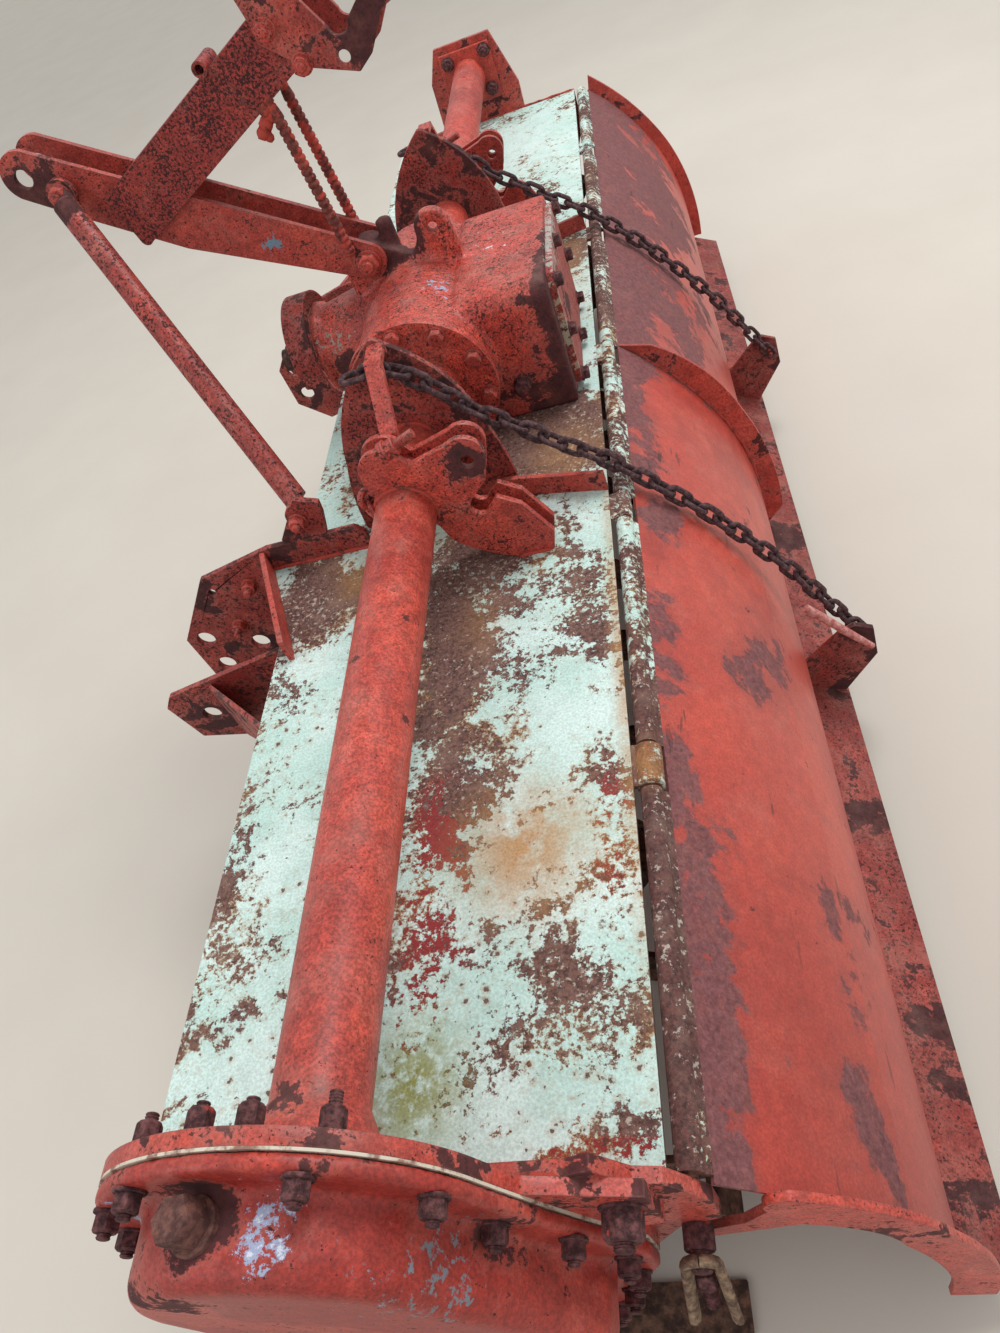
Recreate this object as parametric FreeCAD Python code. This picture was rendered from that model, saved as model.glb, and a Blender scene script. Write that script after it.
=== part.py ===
"""Rear-mounted rotary tiller: tractor implement with a side-driven rotor.

Millimetres.  X points forward to the tractor, Y to the implement's left side,
where the drive case is, and Z up.  Every size below is measured from the middle
of the main tube, on the gearbox's middle plane.  The exported frame's origin is
the front end of the input shaft, so write() moves each piece back by its reach.
"""
import FreeCAD
import Part
import math
import os

from FreeCAD import Vector

# Clearances
fit = 0.1                 # round a pin or tube that stays still in its hole
run_gap = 0.3             # between faces that turn on each other
swing_gap = 6.0           # beside the swinging tailgate
strut_gap = 4.5           # between a strut's tube and the plates at its ends

# Main tube and side plates
tube_od = 76.3
tube_wall = 4.2
flare_out = 22.0          # how far the left tube's flared end stands out
flare_len = 44.0
left_y = 1220.0           # inner face of the left side plate
right_y = -1190.0         # inner face of the right side plate
side_t = 12.0
wall_top = -42.0          # top of the left side plate
adapter_t = 12.0          # plate on its outside that takes the tube and the drive case

# Rotor
rotor_x = -15.0
rotor_z = -392.0
rotor_r = 243.0           # to the tips of the blades
ground_gap = 5.0          # blades above the floor, on the skids
rotor_tube_r = 38.0
stub_r = 25.0
disc_r = 102.0
disc_t = 8.0
disc_count = 10
disc_margin = 89.0        # from a side plate to the nearest disc's middle
blades_per_disc = 6
blade_t = 8.0
blade_wing = 52.0
disc_twist = 23.0         # degrees from one disc to the next
bearing_r = 62.0
bearing_t = 12.0
left_bore_r = 46.0
right_bore_r = 30.0

# Deck and the beam under its front edge
deck_top = -106.0
deck_t = 5.0
deck_front = 217.0
deck_rear = -234.0
bulge_x = 268.0           # front edge beside the hitch
bulge_end_y = 545.0       # where the bulge runs out
beam_h = 55.0             # square tube
beam_wall = 5.0
apron_t = 4.0
apron_drop = 78.0
apron_run = 34.0

# Rear hinge
hinge_x = -250.0
hinge_z = -114.0
hinge_r = 11.0
hinge_rod_r = 6.0
knuckle_gap = 3.0
knuckle_len = 50.0        # the deck's short knuckles
knuckle_y = (-800.0, -374.0, 58.0, 439.0, 850.0)

# Gearbox
barrel_r = 103.0
barrel_y = 216.0          # left end of the barrel, under the bearing flange
flange_r = 109.0
flange_t = 14.0
hub_r = 58.0
hub_len = 30.0
neck_r = 56.0
neck_y = -180.0
box_front = -72.0
box_rear = -203.0
box_top = 86.0
box_y = (-135.0, 178.0)
cover_t = 10.0
cover_inset = 26.0
nose_x = 186.0            # face of the input flange
nose_r = 72.0
nose_flange_t = 14.0
journal_r = 22.0
shaft_r = 17.5
shaft_reach = 262.0       # end of the input shaft
lug_hole = (-51.0, 140.0, 8.0)
lug_y = (7.0, 27.0)         # the eye's thickness
boss = (20.0, 166.0, 13.0)  # x, top, radius of the filler boss

# Plates over the tube
support_y = 350.0         # inner face of the support plates
support_t = 9.0
fork_y = (457.0, 486.0)   # inner faces of the two fork plates
fork_t = 9.0
fork_hole = (-97.0, 50.0, 8.5)

# Lower hitch
inner_y = 392.0           # inner face of the inner hitch plate
outer_y = 496.0
gusset_y = 690.0          # where the outer plate's gusset meets the beam
gusset_t = 9.0
hitch_t = 10.0
pin_r = 14.5
pin_x = 428.0
pin_z = -266.0
rib_top = -68.0           # top of the inner plate where it stands on the deck
rail_t = 8.0
rail_h = 34.0
rail_end_y = 597.0
deck_rib_h = 28.0

# Mast, arm and struts
mast_y = 27.0             # inner face of a mast plate
mast_t = 9.0
mast_bolt = (54.0, 124.0)
mast_bolt_r = 9.0
mast_hole = (470.0, 376.0)
mast_hole_r = 13.0
arm_t = 6.0
arm_foot = (373.0, 321.0)     # lower and upper end of the arm's top edge
arm_head = (71.0, 452.0)
sleeve_x = 158.0
sleeve_r = 10.0
sleeve_bore_r = 6.0
hook_t = 9.0
brace_r = 6.0
strut_r = 17.0
strut_top = (425.0, 346.0)
strut_foot = (184.0, -36.0)
eye_r = 20.0
eye_t = 14.0

# Drive case on the left side plate
case_round = (12.0, -30.0, 147.0)     # x, z, radius of its upper round
case_low_r = 118.0
gasket_t = 2.0
case_flange_t = 12.0
case_depth = 68.0
case_inset = 34.0
case_wall = 8.0
case_edge_r = 16.0

# Tailgate
gate_t = 4.0
end_rib_t = 8.0
gate_past = 3.0           # how far the tailgate reaches past the left side plate's inner face
gate_left = left_y + gate_past
gate_right = right_y - side_t - swing_gap
lip_rear = (-512.0, -587.0)
gate_lug_y = 416.0
gate_lug_t = 8.0

# Lift chain
chain_pin = (-536.5, -470.5)
chain_pin_r = 4.5
link_pitch = 27.0
link_half = 3.1           # half the thickness of its bar
link_width = 23.0
link_slack = 0.8

adapter_y = left_y + side_t
case_y = adapter_y + adapter_t    # outer face of the adapter plate, under the gasket
floor_z = rotor_z - rotor_r - ground_gap
skid_t = 8.0
skid_overhang = 20.0


def xz(points, y0, y1):
    """Plate whose outline lies in XZ, from y0 to y1.

    Each entry is (x, z), or (x, z, mx, mz): an arc that ends at x, z by way
    of mx, mz.
    """
    edges = []
    last = Vector(points[-1][0], y0, points[-1][1])
    for p in points:
        here = Vector(p[0], y0, p[1])
        if len(p) == 4:
            edges.append(Part.Arc(last, Vector(p[2], y0, p[3]), here).toShape())
        elif (here - last).Length > 0.001:
            edges.append(Part.LineSegment(last, here).toShape())
        last = here
    face = Part.Face(Part.Wire(edges))
    return face.extrude(Vector(0, y1 - y0, 0))


def plan(points, z0, z1):
    """Plate whose outline lies in XY, from z0 to z1."""
    corners = [Vector(x, y, z0) for x, y in points]
    return Part.Face(Part.makePolygon(corners + corners[:1])).extrude(Vector(0, 0, z1 - z0))


def rod(a, b, r):
    """Round bar from a to b."""
    a, b = Vector(*a), Vector(*b)
    return Part.makeCylinder(r, (b - a).Length, a, b - a)


def across(x, z, y0, y1, r):
    """Round bar along Y."""
    return rod((x, y0, z), (x, y1, z), r)


def box(x, y, z):
    """Block between the pairs of limits x, y and z."""
    return Part.makeBox(x[1] - x[0], y[1] - y[0], z[1] - z[0], Vector(x[0], y[0], z[0]))


def fuse(first, *others):
    return first.fuse(list(others)).removeSplitter()


def mirror(shape):
    return shape.mirror(Vector(0, 0, 0), Vector(0, 1, 0))


def tube_left():
    """Left tube, flared where it is welded to the adapter plate."""
    y0, r = barrel_y + flange_t, tube_od / 2
    cone = Part.makeCone(r, r + flare_out, flare_len, Vector(0, adapter_y - flare_len, 0), Vector(0, 1, 0))
    return fuse(across(0, 0, y0, adapter_y, r), cone).cut(across(0, 0, y0, adapter_y, r - tube_wall))


def tube_right():
    """Right tube with the square foot that is bolted to the side plate."""
    y0 = neck_y + 30
    foot = xz([(-66, -62), (66, -62), (60, 60), (-64, 60)], right_y, right_y + 10)
    body = fuse(across(0, 0, y0, right_y, tube_od / 2), foot)
    return body.cut(across(0, 0, y0, right_y, tube_od / 2 - tube_wall))


def deck():
    """Top plate, wider in front beside the two hitch brackets."""
    half = [(deck_front, inner_y + hitch_t), (bulge_x, inner_y + hitch_t), (deck_front, bulge_end_y)]
    left = half + [(deck_front, left_y), (deck_rear, left_y)]
    right = [(deck_rear, right_y), (deck_front, right_y)] + [(x, -y) for x, y in reversed(half)]
    return plan(right + left, deck_top - deck_t, deck_top)


def front_beam():
    z1 = deck_top - deck_t
    outer = box((deck_front - beam_h, deck_front), (right_y, left_y), (z1 - beam_h, z1))
    inner = box((deck_front - beam_h + beam_wall, deck_front - beam_wall), (right_y, left_y),
                (z1 - beam_h + beam_wall, z1 - beam_wall))
    return outer.cut(inner)


def apron_line():
    """Upper and lower point of the front sheet's face."""
    z1 = deck_top - deck_t - beam_h
    return (deck_front, z1), (deck_front + apron_run, z1 - apron_drop)


def front_apron():
    """Sheet that closes the front of the rotor housing below the beam."""
    (x0, z0), (x1, z1) = apron_line()
    return xz([(x0 - apron_t, z0), (x0, z0), (x1, z1), (x1 - apron_t, z1)], right_y, left_y)


def on_round(degrees):
    """Point of the case's upper round, counted from the front over the top."""
    cx, cz, r = case_round
    a = math.radians(degrees)
    return cx + r * math.cos(a), cz + r * math.sin(a)


def case_outline():
    """Outline of the drive case's flange: round head, waist, flared heel, round foot."""
    front_low = (rotor_x + case_low_r, rotor_z)
    rear_low = (rotor_x - case_low_r, rotor_z)
    return [on_round(0), on_round(90) + on_round(45), on_round(163) + on_round(126), (-179, -113, -149, -43),
            (-206, -168), (-206, -214), rear_low, front_low + (rotor_x, rotor_z - case_low_r)]


def case_face(inset, y0):
    solid = xz(case_outline(), y0, y0 + 1)
    face = [f for f in solid.Faces if abs(f.CenterOfMass.y - y0) < 0.001][0]
    return face.makeOffset2D(-inset) if inset else face


def case_body(inset, y0, y1):
    face = Part.Face(case_face(inset, y0).Wires)
    return face.extrude(Vector(0, y1 - y0, 0))


def side_left():
    """Left side plate with its rear ear, and the adapter plate welded on its outside."""
    (x0, z0), (x1, z1) = apron_line()
    r = case_low_r
    ear = [(-172, wall_top), (-193, wall_top + 10), (-215, wall_top - 28), (-236, wall_top - 34),
           (-262, -132), (-262, -180), (-225, -205)]
    wall = xz(ear + [(rotor_x - r, rotor_z), (rotor_x + r, rotor_z, rotor_x, rotor_z - r), (x1, z1), (x0, z0),
                     (x0, deck_top), (130, wall_top)], left_y, adapter_y)
    wall = wall.cut(across(0, 0, left_y, adapter_y, tube_od / 2 + flare_out + fit))
    heel = xz([(-110, 0), (-127, 0), (-152, -34, -136, -25), (-226, -56), (-226, -130), (-100, -180)],
              adapter_y, case_y)
    adapter = xz(case_outline(), adapter_y, case_y)
    plate = fuse(wall, adapter, heel)
    return plate.cut(across(rotor_x, rotor_z, left_y - 1, case_y + 1, left_bore_r))


def side_right():
    """Right side plate with its ear round the main tube."""
    (x0, z0), (x1, z1) = apron_line()
    r = case_low_r
    outline = [(100, -100), (96, 6), (67, 76), (-71, 76), (-110, -48), (-108, deck_top),
               (deck_rear, deck_top), (deck_rear, -190), (-206, -250), (rotor_x - r, rotor_z),
               (rotor_x + r, rotor_z, rotor_x, rotor_z - r), (x1, z1), (x0, z0), (x0, deck_top)]
    plate = xz(outline, right_y - side_t, right_y)
    return plate.cut(across(rotor_x, rotor_z, right_y + 1, right_y - side_t - 1, right_bore_r))


def bearing_right():
    """Bearing cap of the rotor's right end."""
    y0 = right_y - side_t
    cap = across(rotor_x, rotor_z, y0, y0 - 16, bearing_r)
    hub = across(rotor_x, rotor_z, y0 - 16, y0 - 38, 42)
    return fuse(cap, hub).cut(across(rotor_x, rotor_z, y0, y0 - 30, stub_r + run_gap))


def bearing_left():
    """Bearing housing inside the left side plate."""
    flange = across(rotor_x, rotor_z, left_y - bearing_t, left_y, bearing_r)
    hub = across(rotor_x, rotor_z, left_y, case_y, left_bore_r - fit)
    bore = across(rotor_x, rotor_z, left_y - bearing_t, case_y, stub_r + run_gap)
    return fuse(flange, hub).cut(bore)


def gasket():
    return case_body(0, case_y, case_y + gasket_t).cut(case_body(case_inset, case_y, case_y + gasket_t))


def drive_case():
    """Cast cover of the side drive: bolting flange and a deep rounded body."""
    y0 = case_y + gasket_t
    flange = case_body(0, y0, y0 + case_flange_t)
    body = case_body(case_inset, y0, y0 + case_depth)
    rim = [e for e in body.Edges if abs(e.BoundBox.YMin - y0 - case_depth) < 0.01]
    body = body.makeFillet(case_edge_r, rim)
    return fuse(flange, body).cut(case_body(case_inset + case_wall, y0, y0 + case_depth - case_wall))


def gearbox():
    """Bevel gearbox: barrel round the tube, rear box, nose towards the tractor."""
    barrel = across(0, 0, box_y[0] + 15, barrel_y, barrel_r)
    rear = box((box_rear, box_front), box_y, (deck_top, box_top))
    edges = [e for e in rear.Edges if e.BoundBox.XLength > 20 and e.BoundBox.ZMax > box_top - 1]
    rear = rear.makeFillet(34, edges)
    fill = box((box_front - 1, 20), (box_y[0] + 20, box_y[1] - 20), (deck_top, 70))
    nose = Part.makeCone(96, nose_r - 8, nose_x - nose_flange_t, Vector(0, 0, 0), Vector(1, 0, 0))
    flange = rod((nose_x - nose_flange_t, 0, 0), (nose_x, 0, 0), nose_r)
    neck = across(0, 0, neck_y, box_y[0] + 16, neck_r)
    block = xz([(90, 30), (96, 84), (76, 138, 94, 118), (48, 146, 62, 148), (0, 118), (-40, 96), (-60, 60)],
               -mast_y, mast_y)
    hx, hz, hr = lug_hole
    eye = xz([(0, 90), (hx + 27, hz - 8), (hx - 26, hz, hx, hz + 26), (-84, 60)], *lug_y)
    filler = rod((boss[0], 0, 60), (boss[0], 0, boss[1]), boss[2])
    body = fuse(barrel, rear, fill, nose, flange, neck, block, eye, filler)
    for x, z, r in (mast_bolt + (mast_bolt_r + fit,), (hx, hz, hr)):
        body = body.cut(across(x, z, -mast_y, mast_y, r))
    body = body.cut(rod((60, 0, 0), (nose_x, 0, 0), journal_r + run_gap))
    return body.cut(across(0, 0, neck_y, neck_y + 30, tube_od / 2 + fit))


def gearbox_flange():
    """Bolted flange at the barrel's left end, with the socket of the left tube."""
    disc = across(0, 0, barrel_y, barrel_y + flange_t, flange_r)
    hub = across(0, 0, barrel_y + flange_t, barrel_y + flange_t + hub_len, hub_r)
    bore = across(0, 0, barrel_y + flange_t, barrel_y + flange_t + hub_len, tube_od / 2 + fit)
    flat = box((-flange_r, flange_r), (barrel_y, barrel_y + flange_t), (deck_top - flange_r, deck_top))
    return fuse(disc, hub).cut(bore).cut(flat)


def gearbox_cover():
    z0, z1 = deck_top + 6, box_top - 8
    plate = box((box_rear - cover_t, box_rear), (box_y[0] + cover_inset, box_y[1] - cover_inset), (z0, z1))
    return plate.makeFillet(24, [e for e in plate.Edges if e.BoundBox.XLength > 2])


def input_shaft():
    """Journal inside the nose, then the bare end that the drive line slides on."""
    return fuse(rod((70, 0, 0), (nose_x, 0, 0), journal_r), rod((nose_x, 0, 0), (shaft_reach, 0, 0), shaft_r))


def support_plate():
    """Upright plate round the tube, pointed like a gable."""
    outline = [(-116, deck_top), (-104, 0, -114, -54), (-16, 152, -72, 92), (0, 160, -10, 158),
               (100, 0, 66, 88), (116, deck_top, 113, -54)]
    plate = xz(outline, support_y, support_y + support_t)
    return plate.cut(across(0, 0, support_y - 1, support_y + support_t + 1, tube_od / 2 + fit))


def fork():
    """Two hook-shaped plates over the tube, with the slotted arm between them."""
    outline = [(34, 40), (33, 62), (-18, 84, 6, 94), (-30, 65), (-80, 78), (-119, 50, -112, 76), (-110, 20),
               (-82, -6), (-95, -28, -82, -24), (-114, -9), (-140, -28), (-167, -80), (-160, deck_top),
               (-112, deck_top), (-40, -56, -74, -86), (-32, -30)]
    hx, hz, hr = fork_hole
    solids = []
    for y in fork_y:
        plate = xz(outline, y, y + fork_t)
        plate = plate.cut(across(0, 0, y - 1, y + fork_t + 1, tube_od / 2 + fit))
        solids.append(plate.cut(across(hx, hz, y - 1, y + fork_t + 1, hr)))
    gap = (fork_y[0] + fork_t, fork_y[1])
    web = xz([(-60, 42), (-60, 58), (-36, 50), (-6, 70), (14, 66), (14, 50), (-6, 52)], *gap)
    foot = xz([(-154, deck_top), (-160, -90), (-124, -82), (-118, deck_top)], *gap)
    return fuse(solids[0], solids[1], web, foot)


def deck_rib():
    """Low rib on the deck, from the support plate's rear foot to the rear edge."""
    y = support_y + support_t
    return plan([(-74, y), (-106, y), (deck_rear, y + 37), (deck_rear, y + 45)],
                deck_top, deck_top + deck_rib_h)


def rail():
    """Slanted upright along the deck's bulge."""
    y = inner_y + hitch_t
    x0, run = bulge_x - 3, (bulge_x - deck_front) / (bulge_end_y - y)
    x1 = x0 - run * (rail_end_y - y)
    return plan([(x0, y), (x1, rail_end_y), (x1 - rail_t, rail_end_y), (x0 - rail_t, y)],
                deck_top, deck_top + rail_h)


def hitch_inner():
    """Inner plate of the lower hitch; its upper strip stands on the deck."""
    y = inner_y
    z = rib_top
    high, low = apron_line()
    outline = [(104, deck_top), (104, z - 12), (116, z), (253, z), (374, -94), (462, -200), (459, -284),
               (402, -336), (300, -318), low, high, (deck_front, deck_top)]
    plate = xz(outline, y, y + hitch_t)
    holes = ((pin_x, pin_z, pin_r), (431, -207, pin_r), (351, -236, pin_r), (369, -121, 6))
    for hx, hz, hr in holes:
        plate = plate.cut(across(hx, hz, y - 1, y + hitch_t + 1, hr))
    return plate


def hitch_outer():
    """Outer plate of the lower hitch, with its gusset to the beam."""
    y = outer_y
    high, low = apron_line()
    outline = [(deck_front, -150), (262, -168), (472, -214), (489, -236), (470, -311), (400, -326),
               low, high]
    plate = xz(outline, y, y + hitch_t)
    plate = plate.cut(across(pin_x, pin_z, y - 1, y + hitch_t + 1, pin_r))
    near, far = Vector(395, y + hitch_t, 0), Vector(deck_front, gusset_y, 0)
    g = [near + (far - near) * t + Vector(0, 0, z)
         for t, z in ((0, -203), (1, -118), (1, deck_top - deck_t - beam_h), (0.1, -300), (0, -300))]
    gusset = Part.Face(Part.makePolygon(g + g[:1])).extrude(Vector(0, gusset_t, 0))
    gusset = gusset.cut(box((0, deck_front), (y, gusset_y + 2 * gusset_t), (-400, 0)))
    return fuse(plate, gusset)


def mast_plate():
    (bx, bz), (hx, hz) = mast_bolt, mast_hole
    y = mast_y
    outline = [(bx + 4, bz - 26), (bx - 14, bz + 22, bx - 26, bz - 2), (hx - 16, hz + 34),
               (hx + 18, hz - 22, hx + 28, hz + 14), (hx - 60, hz - 78), (300, 222)]
    plate = xz(outline, y, y + mast_t)
    plate = plate.cut(across(hx, hz, y - 1, y + mast_t + 1, mast_hole_r))
    return plate.cut(across(bx, bz, y - 1, y + mast_t + 1, mast_bolt_r + fit))


def mast_pin():
    """Bolt that holds both mast plates on the gearbox lug."""
    (x, z), y = mast_bolt, mast_y + mast_t
    return fuse(across(x, z, -y - 18, y + 12, mast_bolt_r), across(x, z, y, y + 12, 15),
                across(x, z, -y - 12, -y, 15))


def arm():
    """Channel that stands on the mast plates and leans back, with a pin sleeve."""
    y = mast_y + mast_t
    low, high = arm_foot, arm_head
    outline = [low, (low[0] - 15, low[1] - 67), (low[0] - 31, low[1] - 73, low[0] - 21, low[1] - 75),
               (high[0] - 33, high[1] - 69), high]
    sides = [xz(outline, side, side + arm_t) for side in (y, -y - arm_t)]

    def top(x):
        return low[1] + (high[1] - low[1]) * (x - low[0]) / (high[0] - low[0])

    start = low[0] - 45
    web = xz([(start, top(start)), high, (high[0] - 3, high[1] - arm_t), (start - 3, top(start - 3) - arm_t)],
             -y, y)
    seat = top(sleeve_x) + sleeve_r - 3
    sleeve = across(sleeve_x, seat, -12, 46, sleeve_r)
    hole = across(sleeve_x, seat, -12, 46, sleeve_bore_r)
    return fuse(sides[0], sides[1], web, sleeve.cut(hole))


def hook_plate():
    """Plate bolted on the arm's upper end, with a hook notch in its top edge."""
    y = mast_y + mast_t + arm_t
    x, z = arm_head
    steps = [(9, 44), (1, 0), (-1, -28), (-44, -68), (-111, -94), (-133, -80), (-163, -40), (-189, -32),
             (-193, 0), (-155, 10), (-137, -22), (-117, -38), (-91, -38, -104, -50), (-67, 4), (-61, 48),
             (-23, 68)]
    outline = [(x + s[0], z + s[1]) + ((x + s[2], z + s[3]) if len(s) == 4 else ()) for s in steps]
    plate = xz(outline, y, y + hook_t)
    return plate.cut(across(x - 98, z - 73, y - 1, y + hook_t + 1, 8))


def brace(arm_shape):
    """Round bar from the arm's underside down to the mast plate."""
    y = mast_y + mast_t + brace_r + fit
    bar = rod((72, y, 146), (90, y, 352), brace_r)
    cut = bar.cut(arm_shape)
    return max(cut.Solids, key=lambda s: s.Volume)


def strut():
    """Brace from the mast's front end down to the plate on the deck."""
    side = mast_y + mast_t
    top = Vector(strut_top[0], side + strut_r + strut_gap, strut_top[1])
    foot = Vector(strut_foot[0], inner_y - strut_r - strut_gap, strut_foot[1])
    along = (foot - top).normalize()
    body = rod(top + along * 14, foot - along * 14, strut_r)
    head = across(top.x, top.z, side, side + eye_t, eye_r)
    end = across(foot.x, foot.z, inner_y - eye_t, inner_y, eye_r)
    neck_top = rod(Vector(top.x, side + eye_t - 2, top.z), top + along * 40, strut_r - 3)
    neck_end = rod(Vector(foot.x, inner_y - eye_t + 2, foot.z), foot - along * 40, strut_r - 3)
    return fuse(body, head, end, neck_top, neck_end)


def strut_foot_plate():
    z = rib_top
    return xz([(156, z), (146, -34), (144, -15), (176, -2), (222, -60), (222, z)], inner_y, inner_y + hitch_t)


def strap():
    """Bent flat bar over the lift chain's upper end."""
    y0, y1 = support_y + support_t, fork_y[0]
    pts = [(y0, 142), (y0, 156), (y0 + 40, 154), (y1 - 2, 88), (y1, 76), (y1, 58), (y1 - 8, 58),
           (y1 - 9, 84), (y0 + 36, 145), (y0 + 8, 146), (y0 + 8, 142)]
    wire = Part.makePolygon([Vector(-20, y, z) for y, z in pts + pts[:1]])
    return Part.Face(wire).extrude(Vector(22, 0, 0))


def link(centre, along, up):
    """Chain link as an eight-sided ring of square bar."""
    side = along.cross(up)
    h = link_half

    def ring(half_l, half_w):
        c = half_w * 0.5
        d = half_l - half_w * 0.5
        pts = [(half_l, c), (d, half_w), (-d, half_w), (-half_l, c),
               (-half_l, -c), (-d, -half_w), (d, -half_w), (half_l, -c)]
        pts = [centre + along * a + side * b - up * h for a, b in pts]
        return Part.makePolygon(pts + pts[:1])

    inner_l = (link_pitch + link_slack) / 2
    inner_w = link_width / 2 - 2 * h
    face = Part.Face([ring(inner_l + 2 * h, inner_w + 2 * h), ring(inner_l, inner_w)])
    return face.extrude(up * 2 * h)


def chain(path):
    """Links laid along a polyline, each turned a quarter from the last."""
    points = [Vector(*p) for p in path]
    links = []
    at = link_pitch / 2
    for a, b in zip(points, points[1:]):
        length = (b - a).Length
        along = (b - a).normalize()
        flat = Vector(0, 1, 0)
        flat = (flat - along * flat.dot(along)).normalize()
        while at <= length:
            up = flat if len(links) % 2 else along.cross(flat)
            links.append(link(a + along * at, along, up))
            at += link_pitch
        at -= length
    return Part.makeCompound(links)


def lift_chain():
    """Chain from the strap over the rear hinge to the lug on the tailgate."""
    return chain([(42, 372, 126), (12, 373, 131), (-18, 374, 126), (-60, 377, 90), (-98, 379, 46),
                  (-150, 382, 4), (-191, 385, -31), (-236, 387, -64), (-289, 391, -118), (-346, 394, -181),
                  (-402, 396, -254), (-450, 398, -323), (-498, 400, -404), (-535, 402, -468)])


def knuckles(gate):
    """Start and end of the deck's short knuckles, or of the gate's tubes between them."""
    half = knuckle_len / 2
    short = [(y - half, y + half) for y in knuckle_y]
    if not gate:
        return short
    edges = [right_y + knuckle_gap]
    for y0, y1 in short:
        edges += [y0 - knuckle_gap, y1 + knuckle_gap]
    edges.append(left_y - knuckle_gap)
    return list(zip(edges[::2], edges[1::2]))


def knuckle(y0, y1, leaf):
    ring = fuse(across(hinge_x, hinge_z, y0, y1, hinge_r), leaf)
    return ring.cut(across(hinge_x, hinge_z, y0, y1, hinge_rod_r + fit))


def deck_hinge():
    return Part.makeCompound([
        knuckle(y0, y1, box((hinge_x, deck_rear), (y0, y1), (deck_top - deck_t, deck_top)))
        for y0, y1 in knuckles(False)])


def hinge_rod():
    return across(hinge_x, hinge_z, right_y, left_y, hinge_rod_r)


gate_curve = ((-266, -121), (-342, -202), (-408, -309), (-443, -422), (-450, -556))


def gate_points(off):
    """Points of the tailgate's outside, moved out by off along the slope."""
    lean = (0.72, 0.75, 0.90, 0.99, 1.0)
    return [(x - off * k, z + off * math.sqrt(1 - k * k)) for (x, z), k in zip(gate_curve, lean)]


def gate_sheet():
    o, i = gate_points(0), gate_points(-gate_t)
    outline = [o[0], o[2] + o[1], o[4] + o[3], i[4], i[2] + i[3], i[0] + i[1]]
    return xz(outline, gate_right, gate_left)


def gate_hinge():
    """Long tubes of the hinge, welded to the sheet's upper edge."""
    o, i = gate_points(0)[0], gate_points(-gate_t)[0]
    return Part.makeCompound([
        knuckle(y0, y1, xz([(hinge_x, hinge_z - 9), (hinge_x - 8, hinge_z + 2), o, i], y0, y1))
        for y0, y1 in knuckles(True)])


def gate_lip():
    """Flat bar along the lower edge, bent back."""
    o, i = gate_points(0)[4], gate_points(-gate_t)[4]
    rear = lip_rear
    return xz([i, o, rear, (rear[0] + 2, rear[1] - gate_t), (i[0], i[1] - gate_t)], gate_right, gate_left)


def gate_rib(y, t, proud):
    """Curved rib that stands out from the sheet, tapered at both ends."""
    i, o = gate_points(fit), gate_points(proud)
    start = (o[0][0] * 0.5 + i[1][0] * 0.5, o[0][1] * 0.5 + i[1][1] * 0.5 + proud * 0.4)
    outline = [i[0], start, o[2] + o[1], (o[4][0], o[4][1] + 40) + o[3], (i[4][0], i[4][1]), i[2] + i[3],
               i[0] + i[1]]
    return xz(outline, y, y + t)


def gate_rib_left():
    """End plate with the tab that points forward under the side plate's ear."""
    i, o = gate_points(-14), gate_points(30)
    outline = [(-236, -228), (-276, -208), (-296, -176), (-318, -146, -306, -148), o[2] + o[1], o[4] + o[3],
               i[4], i[2] + i[3], (-318, -220, -350, -238), (-236, -252)]
    return xz(outline, gate_left, gate_left + end_rib_t)


def gate_rib_right():
    i, o = gate_points(-30), gate_points(26)
    outline = [(-272, -92), o[2] + o[1], o[4] + o[3], i[4], i[2] + i[3], (-262, -150) + i[1]]
    return xz(outline, gate_right - end_rib_t, gate_right)


def gate_lug():
    """Ear on the tailgate's lip that takes the chain's lower end."""
    o = gate_points(fit)[4]
    outline = [(-446.5, -500), (-452, -500), (-505, -446), (-526, -436), (-552, -450), (-556, -506),
               (-505, -583.4 + fit), (o[0], o[1] + fit)]
    ear = xz(outline, gate_lug_y, gate_lug_y + gate_lug_t).cut(gate_sheet())
    x, z = chain_pin
    return fuse(ear, across(x, z, gate_lug_y - 24, gate_lug_y + gate_lug_t + 4, chain_pin_r))


def disc_places():
    first, last = right_y + disc_margin, left_y - disc_margin
    step = (last - first) / (disc_count - 1)
    return [first + i * step - disc_t / 2 for i in range(disc_count)]


def rotor_disc(y):
    """Six-cornered flange with a blade bolted at each corner."""
    corners = [(rotor_x + disc_r * math.sin(math.tau * k / blades_per_disc),
                rotor_z + disc_r * math.cos(math.tau * k / blades_per_disc)) for k in range(blades_per_disc)]
    return xz(corners, y, y + disc_t)


def rotor_shaft():
    """Rotor tube with its stub axles and the discs that carry the blades."""
    y0, y1 = right_y + 26, left_y - 26
    body = across(rotor_x, rotor_z, y0, y1, rotor_tube_r)
    stub_l = across(rotor_x, rotor_z, y1, case_y + 18, stub_r)
    stub_right = across(rotor_x, rotor_z, y0, right_y - side_t - 26, stub_r)
    discs = []
    for d, y in enumerate(disc_places()):
        disc = rotor_disc(y)
        disc.rotate(Vector(rotor_x, 0, rotor_z), Vector(0, 1, 0), disc_twist * d)
        discs.append(disc)
    return fuse(body, stub_l, stub_right, *discs)


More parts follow.
